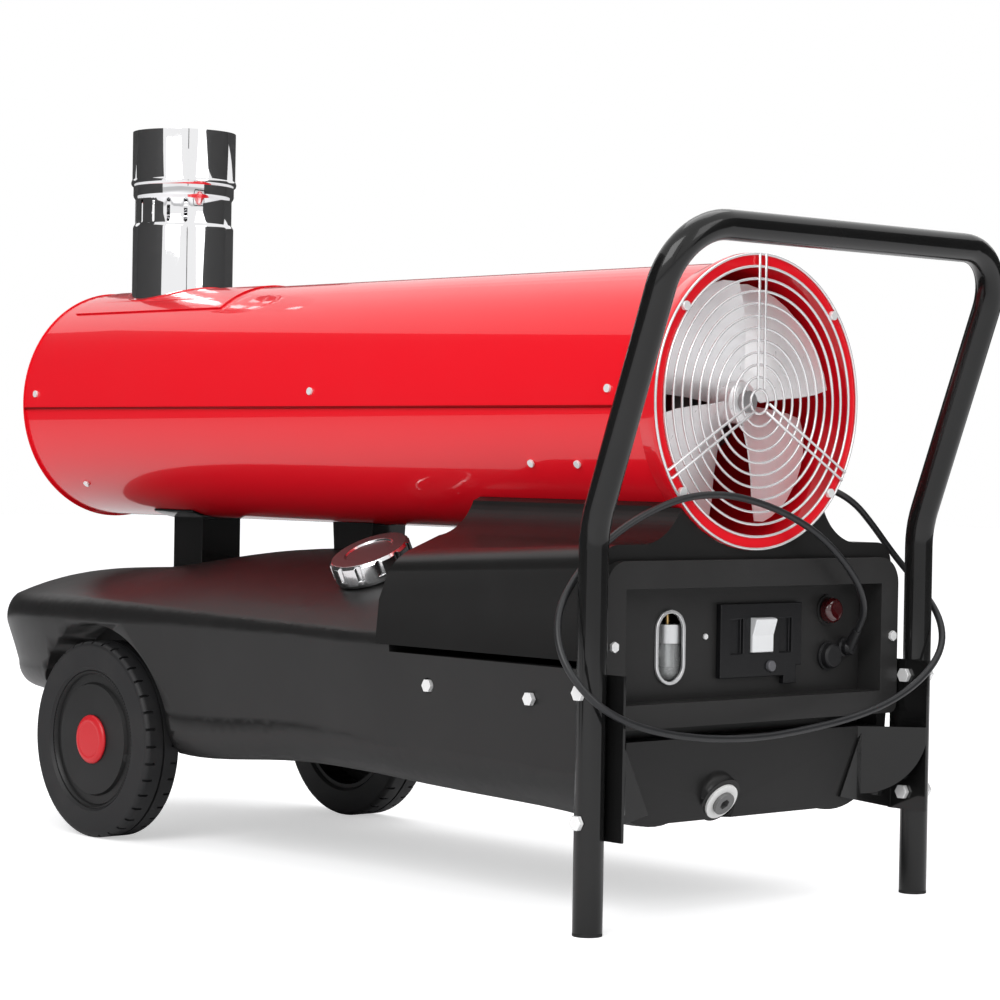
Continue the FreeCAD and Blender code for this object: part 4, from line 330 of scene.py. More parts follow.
TANK_BLACK = Finish(
    "tank_black", "tank_black", (0.0135, 0.0132, 0.0132), (0.04, 0.039, 0.038), (0.30, 0.42), fine=420.0,
    relief=(0.10, 0.0003), marks=0.2, specular=0.3)
COVER_BLACK = Finish(
    "cover_black", "cover_black", (0.0105, 0.0102, 0.0101), (0.03, 0.03, 0.03), (0.26, 0.38), fine=1300.0,
    relief=(0.20, 0.0002), marks=0.25, specular=0.3)
PANEL_BLACK = Finish(
    "panel_black", "panel_black", (0.021, 0.0205, 0.0204), (0.05, 0.05, 0.05), (0.32, 0.46), fine=1500.0,
    relief=(0.24, 0.0002), marks=0.3, specular=0.3)
TUBE_BLACK = Finish(
    "tube_black", "tube_black", (0.006, 0.006, 0.006), (0.03, 0.03, 0.03), (0.20, 0.30), coat=(0.5, 0.05),
    fine=1000.0, relief=(0.06, 0.0002), marks=0.2, specular=0.15)
FOOT_BLACK = Finish(
    "foot_black", "foot_black", (0.014, 0.014, 0.014), (0.06, 0.055, 0.05), (0.5, 0.7), specular=0.3)
TYRE_BLACK = Finish(
    "tyre_black", "tyre_black", (0.015, 0.015, 0.016), (0.06, 0.056, 0.052), (0.45, 0.62), fine=700.0,
    relief=(0.30, 0.0003), marks=0.45, specular=0.35)
WHEEL_BLACK = Finish(
    "wheel_black", "wheel_black", (0.0135, 0.0135, 0.0137), (0.045, 0.044, 0.043), (0.34, 0.46), fine=800.0,
    relief=(0.2, 0.0002), specular=0.25)
CAP_RED = Finish(
    "cap_red", "cap_red", (0.62, 0.006, 0.014), (0.6, 0.08, 0.08), (0.30, 0.42), fine=500.0, marks=0.2)
AXLE_STEEL = Finish(
    "axle_steel", "axle_steel", (0.5, 0.5, 0.51), (0.34, 0.32, 0.3), (0.3, 0.5), metal=1.0)
FILLER_CHROME = Finish(
    "filler_chrome", "filler_chrome", (0.80, 0.81, 0.82), (0.6, 0.6, 0.6), (0.08, 0.18), metal=1.0,
    fine=90.0, relief=(0.15, 0.0004))
# Dark finish for the filler cap's upward faces: a painted dark reflection on its chrome top.
CAP_TOP_PAINTED_REFLECTION = Finish(
    "cap_top_painted_reflection", "filler_chrome", (0.10, 0.10, 0.102), (0.2, 0.2, 0.2), (0.22, 0.34), metal=0.6, fine=300.0,
    relief=(0.2, 0.0003))
SEAL_WHITE = Finish(
    "seal_white", "seal_white", (0.84, 0.84, 0.83), (0.5, 0.5, 0.49), (0.4, 0.55), marks=0.2)
PLUG_GREY = Finish(
    "plug_grey", "plug_grey", (0.20, 0.20, 0.20), (0.12, 0.12, 0.12), (0.3, 0.5), metal=0.6)
TRIM_CHROME = Finish(
    "trim_chrome", "trim_chrome", (0.88, 0.88, 0.89), (0.66, 0.66, 0.66), (0.12, 0.25), metal=0.7)
ESCUTCHEON = Finish(
    "escutcheon_grey", "escutcheon_grey", (0.007, 0.007, 0.008), (0.05, 0.05, 0.05), (0.2, 0.3),
    fine=1500.0, relief=(0.15, 0.0002), specular=0.4)
ROCKER_WHITE = Finish(
    "rocker_white", "rocker_white", (0.84, 0.85, 0.86), (0.6, 0.6, 0.6), (0.22, 0.34), marks=0.15)
BUTTON_GREY = Finish(
    "button_grey", "button_grey", (0.12, 0.12, 0.13), (0.25, 0.25, 0.25), (0.32, 0.46))
LAMP_RED = Finish(
    "lamp_red", "lamp_red", (0.05, 0.003, 0.004), (0.10, 0.02, 0.02), (0.10, 0.18), coat=(1.0, 0.03),
    fine=300.0, marks=0.1)
SOCKET_BLACK = Finish(
    "socket_black", "socket_black", (0.012, 0.012, 0.013), (0.05, 0.05, 0.05), (0.36, 0.5), specular=0.35)
FILTER_CASTING = Finish(
    "filter_casting", "filter_casting", (0.70, 0.71, 0.72), (0.4, 0.4, 0.4), (0.25, 0.45), metal=0.8,
    fine=500.0, relief=(0.25, 0.0003))
BOWL_GLASS = Finish(
    "bowl_glass", "bowl_glass", (0.93, 0.95, 0.95), (0.7, 0.72, 0.72), (0.03, 0.08), clear=0.75, fine=90.0,
    relief=(0.05, 0.0002), marks=0.15)
CORD_RUBBER = Finish(
    "cord_rubber", "cord_rubber", (0.016, 0.0165, 0.018), (0.06, 0.06, 0.06), (0.30, 0.42), fine=900.0,
    relief=(0.15, 0.0001), specular=0.4)


# ---------------------------------------- the bench
class Bench:
    """Modelling by operators: primitives, selections by place, modifiers, and pieces made ready."""

    def __init__(self, nodes: dict[str, bpy.types.Object], effects: Effects) -> None:
        """Keep the frame's nodes and the shared effects.

        Args:
            nodes: The frame's nodes by name.
            effects: The shared node groups.
        """
        self.nodes = nodes
        self.effects = effects
        self.body_of = {name: node["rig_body"] for name, node in nodes.items()}

    @staticmethod
    def clear() -> None:
        """Deselect everything and leave edit mode."""
        if bpy.context.object and bpy.context.object.mode != "OBJECT":
            bpy.ops.object.mode_set(mode="OBJECT")
        bpy.ops.object.select_all(action="DESELECT")

    def pick(self, piece: bpy.types.Object) -> bpy.types.Object:
        """Select one piece alone and make it active.

        Args:
            piece: The piece.

        Returns:
            The same piece.
        """
        self.clear()
        piece.select_set(True)
        bpy.context.view_layer.objects.active = piece
        return piece

    def settle(self, piece: bpy.types.Object) -> bpy.types.Object:
        """Move a piece's place into its mesh, so that its object sits at the origin.

        Args:
            piece: The piece.

        Returns:
            The same piece.
        """
        self.pick(piece)
        bpy.ops.object.transform_apply(location=True, rotation=True, scale=True)
        return piece

    def smooth(self, piece: bpy.types.Object, degrees: float = 30.0) -> None:
        """Shade a piece smooth up to an angle."""
        self.pick(piece)
        bpy.ops.object.shade_smooth_by_angle(angle=math.radians(degrees))

    def finish(self, piece: bpy.types.Object, name: str, finish: Finish, body: str) -> bpy.types.Object:
        """Name a piece, dress it and let it ride on its body.

        Args:
            piece: The finished piece.
            name: Its name.
            finish: What it is dressed in.
            body: The body that it moves with.

        Returns:
            The same piece.
        """
        piece.name = name
        piece.data.name = name
        piece.data.materials.clear()
        piece.data.materials.append(finish.material(self.effects))
        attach(piece, body)
        LOG.info("%s on %s in %s", name, body, finish.name)
        return piece

    def paint(self, finish: Finish, *names: str) -> None:
        """Give nodes of the frame that stay as they are a finish.

        Args:
            finish: What they are dressed in.
            names: The nodes.
        """
        for name in names:
            node = self.nodes[name]
            node.data.materials.clear()
            node.data.materials.append(finish.material(self.effects))
            LOG.info("%s in %s", name, finish.name)

    def skin(self, finish: Finish, *names: str, soften: float = 0.4, degrees: float = 30.0,
             flat: float = 0.4) -> list[bpy.types.Object]:
        """Replace nodes by copies with merged faces, softened edges and smooth shading.

        Args:
            finish: What the copies are dressed in.
            names: The nodes.
            soften: Width of the softened edges, in millimetres.
            degrees: Angle up to which faces shade into each other.
            flat: Angle in degrees under which neighbouring triangles become one face.

        Returns:
            The new pieces.
        """
        made = []
        for name in names:
            self.pick(self.nodes[name])
            bpy.ops.object.duplicate()
            piece = bpy.context.object
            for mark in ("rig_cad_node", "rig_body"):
                del piece[mark]
            piece.parent = None
            bpy.ops.object.mode_set(mode="EDIT")
            bpy.ops.mesh.select_all(action="SELECT")
            bpy.ops.mesh.remove_doubles(threshold=TOUCH)
            bpy.ops.mesh.dissolve_limited(angle_limit=math.radians(flat), delimit={"NORMAL"})
            bpy.ops.object.mode_set(mode="OBJECT")
            self.smooth(piece, degrees)
            if soften > 0:
                self.soften(piece, soften, degrees)
            self.even(piece)
            self.finish(piece, name + "_skin", finish, self.body_of[name])
            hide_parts(name)
            made.append(piece)
        return made

    def soften(self, piece: bpy.types.Object, width: float, degrees: float = 30.0) -> None:
        """Round a piece's edges a little, so that they catch light.

        Args:
            piece: The piece.
            width: Width of the softened edges, in millimetres.
            degrees: Angle above which an edge is softened.
        """
        self.pick(piece)
        bevel = piece.modifiers.new("soft_edges", "BEVEL")
        bevel.width = width * MM
        bevel.segments = 2
        bevel.limit_method = "ANGLE"
        bevel.angle_limit = math.radians(degrees)
        bevel.use_clamp_overlap = True
        bevel.harden_normals = True
        bpy.ops.object.modifier_apply(modifier=bevel.name)

    def even(self, piece: bpy.types.Object) -> None:
        """Let large faces decide the shading beside small ones.

        Args:
            piece: The piece.
        """
        self.pick(piece)
        weights = piece.modifiers.new("even_shading", "WEIGHTED_NORMAL")
        weights.mode = "FACE_AREA"
        weights.weight = LARGE_FACES
        weights.keep_sharp = True
        bpy.ops.object.modifier_apply(modifier=weights.name)

    def edit(self, piece: bpy.types.Object, chosen: Callable[[Vector], bool], kind: str = "VERT") -> None:
        """Open a piece in edit mode with what lies in some place selected.

        Args:
            piece: The piece.
            chosen: Says of a vertex, or of a face's middle, whether it is selected.
            kind: VERT or FACE.
        """
        self.pick(piece)
        bpy.ops.object.mode_set(mode="EDIT")
        bpy.ops.mesh.select_mode(type=kind)
        bpy.ops.mesh.select_all(action="DESELECT")
        bpy.ops.object.mode_set(mode="OBJECT")
        if kind == "VERT":
            for vertex in piece.data.vertices:
                vertex.select = chosen(vertex.co)
        else:
            for face in piece.data.polygons:
                face.select = chosen(face.center)
        bpy.ops.object.mode_set(mode="EDIT")

    def shift(self, piece: bpy.types.Object, chosen: Callable[[Vector], bool], step: Point) -> None:
        """Move a piece's corners that lie in some place by a step.

        Args:
            piece: The piece.
            chosen: Says of a corner whether it moves.
            step: How far they move.
        """
        self.edit(piece, chosen)
        bpy.ops.transform.translate(value=step)
        self.clear()

    def shift_rows(self, piece: bpy.types.Object, chosen: Callable[[Vector], bool],
                   step: Callable[[float, float], Point]) -> None:
        """Move the chosen corners row by row, a row being all of them that share their Y and Z.

        Args:
            piece: The piece.
            chosen: Says of a corner whether it moves.
            step: Gives the step of a row from its Y and Z.
        """
        rows = {(round(corner.co.y, 5), round(corner.co.z, 5)) for corner in piece.data.vertices
                if chosen(corner.co)}
        for y, z in sorted(rows):
            self.shift(piece, lambda place: chosen(place) and abs(place.y - y) < TOUCH
                       and abs(place.z - z) < TOUCH, step(y, z))

    def line(self, points: list[Point]) -> bpy.types.Object:
        """Draw a bent line by extruding one corner from place to place, and stay in edit mode.

        Args:
            points: The line's corners.

        Returns:
            The line, with all of it selected.
        """
        self.clear()
        bpy.ops.mesh.primitive_plane_add(size=MM)
        piece = bpy.context.object
        bpy.ops.object.mode_set(mode="EDIT")
        bpy.ops.mesh.select_mode(type="VERT")
        bpy.ops.mesh.select_all(action="SELECT")
        bpy.ops.mesh.merge(type="CENTER")
        bpy.ops.transform.translate(value=points[0])
        for start, end in zip(points, points[1:]):
            step = Vector(end) - Vector(start)
            bpy.ops.mesh.extrude_region_move(TRANSFORM_OT_translate={"value": step})
        bpy.ops.mesh.select_all(action="SELECT")
        return piece

    def lathe(self, points: list[Point], centre: Point, axis: Point, spins: Turns) -> bpy.types.Object:
        """Turn a line about an axis.

        Args:
            points: The line's corners.
            centre: A place on the axis.
            axis: The axis.
            spins: Degrees and steps of each turn, one after the other, a whole turn together.

        Returns:
            The turned surface, in object mode.
        """
        piece = self.line(points)
        for degrees, steps in spins:
            bpy.ops.mesh.spin(steps=steps, angle=math.radians(degrees), center=centre, axis=axis)
        bpy.ops.mesh.select_all(action="SELECT")
        bpy.ops.mesh.remove_doubles(threshold=0.01 * MM)
        bpy.ops.mesh.normals_make_consistent(inside=False)
        bpy.ops.object.mode_set(mode="OBJECT")
        return piece

    def thicken(self, piece: bpy.types.Object, wall: float, offset: float = -1.0) -> None:
        """Give a surface a wall, in metres, inwards unless the offset says otherwise.

        Args:
            piece: The surface.
            wall: Thickness of the wall, in metres.
            offset: -1 for a wall on the inside, 0 for one that lies half on each side.
        """
        self.pick(piece)
        solid = piece.modifiers.new("wall", "SOLIDIFY")
        solid.thickness = wall
        solid.offset = offset
        bpy.ops.object.modifier_apply(modifier=solid.name)

    def ring(self, centre: Point, radius: float, wire: float, turn: Point,
             around: int = 96) -> bpy.types.Object:
        """A wire ring from a torus primitive.

        Args:
            centre: The ring's middle.
            radius: Radius of the ring.
            wire: Radius of the wire.
            turn: How the ring is turned from lying flat.
            around: Steps round the ring.

        Returns:
            The ring.
        """
        self.clear()
        bpy.ops.mesh.primitive_torus_add(major_radius=radius, minor_radius=wire, major_segments=around,
                                         minor_segments=RING_SIDES, location=centre, rotation=turn)
        return self.settle(bpy.context.object)

    def wire(self, start: Point, end: Point, radius: float) -> bpy.types.Object:
        """A straight wire with rounded ends between two places.

        Args:
            start: Where it starts.
            end: Where it ends.
            radius: Radius of the wire.

        Returns:
            The wire.
        """
        self.clear()
        run = Vector(end) - Vector(start)
        bpy.ops.mesh.primitive_cylinder_add(vertices=WIRE_SIDES, radius=radius, depth=run.length,
                                            location=(Vector(start) + Vector(end)) / 2,
                                            rotation=run.to_track_quat("Z", "Y").to_euler())
        piece = self.settle(bpy.context.object)
        self.soften(piece, radius / MM * 0.5, 60.0)
        return piece

    def join(self, pieces: list[bpy.types.Object]) -> bpy.types.Object:
        """Join pieces into the first one.

        Args:
            pieces: The pieces, of which the first stays.

        Returns:
            The joined piece.
        """
        self.clear()
        for piece in pieces:
            piece.select_set(True)
        bpy.context.view_layer.objects.active = pieces[0]
        bpy.ops.object.join()
        return pieces[0]


# ---------------------------------------- assemblies
@dataclass
class Drum:
    """Red drum with its rings, flue saddle, screws and the furnace inside."""

    bench: Bench
    axis_z: float = 493 * MM
    radius: float = 135.2 * MM
    start: float = -573 * MM
    end: float = 496 * MM
    seam: float = 3.5
    hem: float = 1.3 * MM
    hem_proud: float = 0.1 * MM
    plate_top: float = 6 * MM
    collar_lip: float = 3.5 * MM

    def build(self) -> None:
        """Dress the drum and hem its seams, in a dark red that is painted shade along each seam."""
        self.bench.skin(RED_ENAMEL, "drum_upper_shell", "drum_lower_shell", "outlet_ring", "inlet_ring",
                        soften=0.3)
        self._saddle()
        for name, side in (("seam_hem_left", -1), ("seam_hem_right", 1)):
            self._hem(name, side)
        self.bench.skin(ZINC_SCREW, "drum_screws", soften=0.3)
        self.bench.skin(FURNACE_STEEL, "combustion_chamber", "heat_exchanger", soften=0.0)
        self.bench.paint(FURNACE_STEEL, "exchanger_stays", "burner_head", "swirl_disc")
        self.bench.paint(FUEL_BRASS, "fuel_nozzle")

    def _saddle(self) -> None:
        """Plate under the flue, with its collar cut down to a low lip that follows the drum."""
        saddle = self.bench.skin(RED_ENAMEL, "flue_saddle", soften=0.0)[0]
        crest = self.axis_z + self.radius

        def down_to_lip(y: float, z: float) -> Point:
            """Step that brings a row of the collar down to the lip's height."""
            lip = self.axis_z + math.sqrt(self.radius ** 2 - y ** 2) + self.collar_lip
            return (0.0, 0.0, lip - z)

        self.bench.shift_rows(saddle, lambda place: place.z > crest + self.plate_top, down_to_lip)

    def _hem(self, name: str, side: int) -> None:
        """Rolled hem along the lower edge of the upper shell, dressed dark red as painted shade under the
        shell's lap.

        Args:
            name: The hem's name.
            side: 1 or -1, the side of the drum.
        """
        angle = math.radians(self.seam)
        reach = self.radius + self.hem_proud
        place = (side * reach * math.cos(angle), self.axis_z - reach * math.sin(angle) + self.hem / 2)
        hem = self.bench.wire((self.start, *place), (self.end, *place), self.hem)
        self.bench.smooth(hem, 50.0)
        # The dark red hem is painted shade along the seam.
        self.bench.finish(hem, name, SEAM_SHADE_RED, self.bench.body_of["drum_upper_shell"])


@dataclass
class Flue:
    """Polished steel flue with its draught slots and open top."""

    bench: Bench
    centre: tuple[float, float] = (-442 * MM, 0.0)
    radius: float = 60 * MM
    wall: float = 0.8 * MM
    foot: float = 594 * MM
    joint: float = 757 * MM
    top: float = 818 * MM
    slot_top: float = 737 * MM
    slot_height: float = 29 * MM
    neck: float = 2.5 * MM
    roll: tuple[tuple[float, float], ...] = ((0.0, 5.0), (0.5, 3.2), (2.2, 0.6))
    first_slot: float = -176.5
    pitch: float = 20.5
    slots: int = 8
    slot_round: float = 1.5 * MM
    columns: int = 10
    plain_columns: int = 104
    around: int = 176
    sleeve_gap: float = 0.05 * MM
    sleeve_step: float = 0.6 * MM
    bead: tuple[tuple[float, float], ...] = ((0.0, -4.0), (1.2, -2.8), (1.9, -1.0), (1.9, 1.0), (1.2, 2.8))
    bead_end: float = 4 * MM
    rim: tuple[float, float] = (0.1 * MM, 1.6 * MM)
    smooth_angle: float = 35.0

    def build(self) -> None:
        """Turn both sections of the pipe."""
        self._base()
        self._socket()

    def _turned(self, outline: list[tuple[float, float]], start: float, spins: Turns) -> bpy.types.Object:
        """Turn an outline of radii and heights about the flue's axis, from a start angle.

        Args:
            outline: Radius and height of each corner.
            start: Angle in degrees at which the turn starts.
            spins: Degrees and steps of each turn.

        Returns:
            The turned surface, in object mode.
        """
        x, y = self.centre
        east, north = math.cos(math.radians(start)), math.sin(math.radians(start))
        points = [(x + radius * east, y + radius * north, height) for radius, height in outline]
        return self.bench.lathe(points, (x, y, 0.0), (0.0, 0.0, 1.0), spins)

    def _base(self) -> None:
        """Lower section: the slots lie in the rolled neck, each two columns of faces wide."""
        column = self.pitch / self.columns
        half = math.radians(column)
        low = self.slot_top - self.slot_height
        inset = self.radius - self.neck
        roll = [(self.radius - inwards * MM, away * MM) for inwards, away in self.roll]
        outline = [(self.radius, self.foot), *((radius, low - away) for radius, away in roll),
                   (inset, low), (inset, self.slot_top),
                   *((radius, self.slot_top + away) for radius, away in reversed(roll)),
                   (self.radius, self.joint)]
        slotted = self.columns * (self.slots - 1) + 2
        spins = ((slotted * column, slotted), (360.0 - slotted * column, self.plain_columns))
        pipe = self._turned(outline, self.first_slot - column, spins)

        def beside(place: Vector) -> float:
            """Angle between a place and the middle of the nearest slot.

            Args:
                place: A place on the pipe.

            Returns:
                The angle, in radians.
            """
            turn = math.atan2(place.y - self.centre[1], place.x - self.centre[0])
            slots = (math.radians(self.first_slot + self.pitch * index) for index in range(self.slots))
            return min(abs((turn - slot + math.pi) % math.tau - math.pi) for slot in slots)

        self.bench.edit(pipe, lambda place: low < place.z < self.slot_top and beside(place) < half, "FACE")
        bpy.ops.mesh.delete(type="FACE")
        self.bench.clear()
        for height, step in ((low, self.slot_round), (self.slot_top, -self.slot_round)):
            self.bench.shift(pipe, lambda place: abs(place.z - height) < TOUCH
                             and 0.5 * half < beside(place) < 1.5 * half, (0.0, 0.0, step))
        self.bench.thicken(pipe, self.wall)
        self.bench.smooth(pipe, self.smooth_angle)
        self.bench.finish(pipe, "flue_base_pipe", FLUE_STEEL, self.bench.body_of["flue_base"])
        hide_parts("flue_base")

    def _socket(self) -> None:
        """Upper section: sleeve over the joint, rolled bead and the open socket."""
        over = self.radius + self.wall + self.sleeve_gap
        wide = over + self.sleeve_step
        outline = [*((over + out * MM, self.joint + up * MM) for out, up in self.bead),
                   (wide, self.joint + self.bead_end), (wide, self.top - self.rim[1]),
                   (wide - self.rim[0], self.top)]
        pipe = self._turned(outline, 0.0, ((360.0, self.around),))
        self.bench.thicken(pipe, self.wall)
        self.bench.smooth(pipe, self.smooth_angle)
        self.bench.finish(pipe, "flue_top_pipe", FLUE_STEEL, self.bench.body_of["flue_top"])
        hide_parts("flue_top")


@dataclass
class FanUnit:
    """Fan, motor and the wire guard in front of them."""

    bench: Bench
    axis_z: float = 493 * MM
    guard_x: float = 500.35 * MM
    guard_radius: float = 142.4 * MM
    wire: float = 1.3 * MM
    rings: int = 12
    spoke_turns: tuple[float, ...] = (90.0, 210.0, 330.0)
    spoke_gap: float = 9 * MM
    spoke_behind: float = 1.55
    hub_front: float = 482 * MM
    hub_length: float = 32 * MM
    hub_radius: float = 21 * MM
    hub_edge: float = 1 * MM
    hub_dome: tuple[tuple[float, float], ...] = ((1.0, 7.0), (0.93, 3.5), (0.72, 1.0))
    shaft_radius: float = 6 * MM
    blades: int = 4
    first_blade: float = 45.0
    blade_columns: int = 10
    blade_sheet: float = 1.6 * MM
    blade_run: tuple[tuple[float, float, float], ...] = (
        (17.0, 44.0, 38.0), (35.0, 70.0, 30.0), (55.0, 102.0, 23.0), (75.0, 130.0, 17.0), (92.0, 148.0, 14.0),
        (104.0, 124.0, 12.0), (112.0, 94.0, 11.0), (118.0, 60.0, 10.0), (121.3, 26.0, 10.0))

    def build(self) -> None:
        """Make the guard and the fan, and dress the rest."""
        self._guard()
        self._fan()
        self.bench.skin(AXLE_STEEL, "motor_shaft", soften=0.3)
        self.bench.skin(MOTOR_GREY, "fan_motor", "motor_bracket", soften=0.5)
        self.bench.skin(PUMP_CASTING, "fuel_pump", soften=0.5)

    def _guard(self) -> None:
        """Guard of wire rings with three pairs of spokes behind them."""
        pitch = self.guard_radius / self.rings
        flat = (0.0, math.pi / 2, 0.0)
        wires = [self.bench.ring((self.guard_x, 0.0, self.axis_z), pitch * count, self.wire, flat)
                 for count in range(1, self.rings + 1)]
        spoke_x = self.guard_x + self.spoke_behind * self.wire
        for turn in self.spoke_turns:
            out = Vector((0.0, math.cos(math.radians(turn)), math.sin(math.radians(turn))))
            beside = Vector((0.0, -out.z, out.y)) * self.spoke_gap / 2
            middle = Vector((spoke_x, 0.0, self.axis_z))
            for side in (-1, 1):
                wires.append(self.bench.wire(middle + out * pitch + beside * side,
                                             middle + out * self.guard_radius + beside * side, self.wire))
        guard = self.bench.join(wires)
        self.bench.smooth(guard, 50.0)
        self.bench.finish(guard, "guard_wires", ZINC_WIRE, self.bench.body_of["fan_guard"])
        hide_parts("fan_guard")

    def _blade(self) -> bpy.types.Object:
        """One blade that stands up from the hub, drawn out step by step, widened and untwisted.

        Returns:
            The blade.
        """
        first, chord, pitch = self.blade_run[0]
        root = Vector((self.hub_front - self.hub_length / 2, 0.0, self.axis_z))
        across = Vector((math.sin(math.radians(pitch)), math.cos(math.radians(pitch)), 0.0)) * chord * MM
        start = root + Vector((0.0, 0.0, first * MM))
        blade = self.bench.line([tuple(start + across * (index / self.blade_columns - 0.5))
                                 for index in range(self.blade_columns + 1)])
        for (low, width, turn), (high, wide, less) in zip(self.blade_run, self.blade_run[1:]):
            bpy.ops.mesh.extrude_region_move(TRANSFORM_OT_translate={"value": (0.0, 0.0, (high - low) * MM)})
            middle = root + Vector((0.0, 0.0, high * MM))
            bpy.ops.transform.resize(value=(wide / width, wide / width, 1.0), center_override=middle)
            bpy.ops.transform.rotate(value=math.radians(less - turn), orient_axis="Z", center_override=middle)
        bpy.ops.mesh.select_all(action="SELECT")
        bpy.ops.mesh.normals_make_consistent(inside=False)
        bpy.ops.object.mode_set(mode="OBJECT")
        self.bench.thicken(blade, self.blade_sheet, 0.0)
        return blade

    def _hub(self) -> bpy.types.Object:
        """Domed hub with its bore.

        Returns:
            The hub.
        """
        front, back, wide = self.hub_front, self.hub_front - self.hub_length, self.hub_radius
        outline = [(self.shaft_radius, back), (wide - self.hub_edge, back), (wide, back + self.hub_edge),
                   *((wide * share, front - behind * MM) for share, behind in self.hub_dome),
                   (self.shaft_radius * 2, front), (self.shaft_radius, front), (self.shaft_radius, back)]
        points = [(x, radius, self.axis_z) for radius, x in outline]
        return self.bench.lathe(points, (0.0, 0.0, self.axis_z), (1.0, 0.0, 0.0), ((360.0, 64),))

    def _fan(self) -> None:
        """Four equal blades round a domed hub."""
        pattern = self._blade()
        parts = []
        for index in range(self.blades):
            self.bench.pick(pattern)
            bpy.ops.object.duplicate()
            blade = bpy.context.object
            turn = Matrix.Rotation(math.radians(self.first_blade + 360.0 / self.blades * index), 4, "X")
            centre = Matrix.Translation((0.0, 0.0, self.axis_z))
            blade.matrix_world = centre @ turn @ centre.inverted()
            parts.append(self.bench.settle(blade))
        bpy.data.objects.remove(pattern)
        parts.append(self._hub())
        fan = self.bench.join(parts)
        self.bench.smooth(fan, 35.0)
        self.bench.finish(fan, "fan_blades", FAN_ALUMINIUM, self.bench.body_of["fan_wheel"])
        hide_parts("fan_wheel")


@dataclass
class Tank:
    """Moulded tank with its filler cap, drain and the two stands of the drum."""

    bench: Bench
    # Faces whose normal points up more than this take the cap's painted dark reflection.
    level: float = 0.8

    def build(self) -> None:
        """Dress the tank."""
        self.bench.skin(TANK_BLACK, "fuel_tank", soften=0.0, degrees=38.0)
        self._cap()
        self.bench.skin(SEAL_WHITE, "drain_seal", soften=0.5)
        self.bench.skin(PLUG_GREY, "drain_plug", soften=0.4)
        self.bench.skin(TUBE_BLACK, "front_column", "middle_saddle", soften=0.5)

    def _cap(self) -> None:
        """Bright filler cap whose upward faces take a dark finish, a painted dark reflection on the chrome
        top.
        """
        cap = self.bench.skin(FILLER_CHROME, "filler_cap", soften=0.6)[0]
        # The dark second finish goes on the faces that point up: a painted reflection chosen by face
        # direction.
        cap.data.materials.append(CAP_TOP_PAINTED_REFLECTION.material(self.bench.effects))
        for face in cap.data.polygons:
            face.material_index = 1 if face.normal.z > self.level else 0


@dataclass
class RunningGear:
    """Axle and the two wheels."""

    bench: Bench

    def build(self) -> None:
        """Dress the axle and wheels."""
        self.bench.skin(AXLE_STEEL, "axle", "axle_collars", soften=0.4)
        self.bench.skin(TANK_BLACK, "axle_blocks", soften=0.8)
        self.bench.skin(SOCKET_BLACK, "axle_sleeves", soften=0.2)
        self.bench.skin(TYRE_BLACK, "tyre_left", "tyre_right", soften=0.6)
        self.bench.skin(WHEEL_BLACK, "wheel_disc_left", "wheel_disc_right", soften=0.0, flat=0.03)
        self.bench.skin(CAP_RED, "hub_cap_left", "hub_cap_right", soften=0.6)


@dataclass
class PushHandle:
    """Bent tube handle with its feet, bolts and brackets."""

    bench: Bench

    def build(self) -> None:
        """Dress the handle."""
        self.bench.skin(TUBE_BLACK, "handle_tube", soften=0.0)
        self.bench.skin(FOOT_BLACK, "foot_caps", soften=0.5)
        self.bench.skin(TUBE_BLACK, "leg_bracket_left", "leg_bracket_right", soften=0.5)
        self.bench.skin(ZINC_SCREW, "leg_bolts", "housing_screws", soften=0.4)


@dataclass
class Housing:
    """Burner cover and what it hides."""

    bench: Bench
    closed_end: float = 175.5 * MM
    crease: float = 291 * MM
    shoulder: float = 356 * MM
    foot: float = 146 * MM
    side: float = 205 * MM
    wall: float = 2.6 * MM
    rake: float = 26 * MM
    slope: float = 22 * MM

    def build(self) -> None:
        """Dress the housing."""
        self._cover()
        # The base plate is a real part, dressed in the cover's black so that the gap under the panel shows
        # dark: painted shade in place of the shade inside the housing.
        self.bench.skin(COVER_BLACK, "housing_base", soften=0.5)
        self.bench.skin(MOTOR_GREY, "ignition_transformer", "burner_control", soften=1.0)
        self.bench.skin(FUEL_BRASS, "fuel_pipes", soften=0.0)

    def _cover(self) -> None:
        """Cover whose closed end leans in above the crease, and whose shoulders fall off towards it."""
        cover = self.bench.skin(COVER_BLACK, "burner_cover", soften=0.0)[0]

        def lean(y: float, z: float) -> Point:
            """Step of a row of the closed end, by its height and its distance from the middle.

            Args:
                y: The row's Y.
                z: The row's Z.

            Returns:
                The step.
            """
            share = min(1.0, (z - self.crease) / (self.shoulder - self.crease))
            out = max(0.0, min(1.0, (abs(y) - self.foot) / (self.side - self.foot)))
            return (self.rake * share, 0.0, -self.slope * out * share)

        self.bench.shift_rows(cover, lambda place: place.x < self.closed_end + self.wall
                              and place.z > self.crease + MM, lean)
        self.bench.soften(cover, 1.0)


@dataclass
class ControlPanel:
    """Recessed panel with its sight window, switches, lamp, socket and cord gland."""

    bench: Bench

    def build(self) -> None:
        """Dress the panel."""
        self.bench.skin(PANEL_BLACK, "panel_frame", "panel_plate", soften=1.0)
        self.bench.skin(TRIM_CHROME, "window_trim", soften=0.6)
        self.bench.skin(ESCUTCHEON, "switch_surround", soften=0.7)
        self.bench.skin(ROCKER_WHITE, "rocker_switch", soften=0.8)
        self.bench.skin(BUTTON_GREY, "reset_button", soften=0.4)
        self.bench.skin(LAMP_RED, "reset_lamp", soften=0.8)
        self.bench.skin(SOCKET_BLACK, "thermostat_socket", "cord_gland", soften=0.6)
        self.bench.skin(FILTER_CASTING, "filter_head", soften=0.5)
        self.bench.skin(BOWL_GLASS, "filter_bowl", soften=0.0)


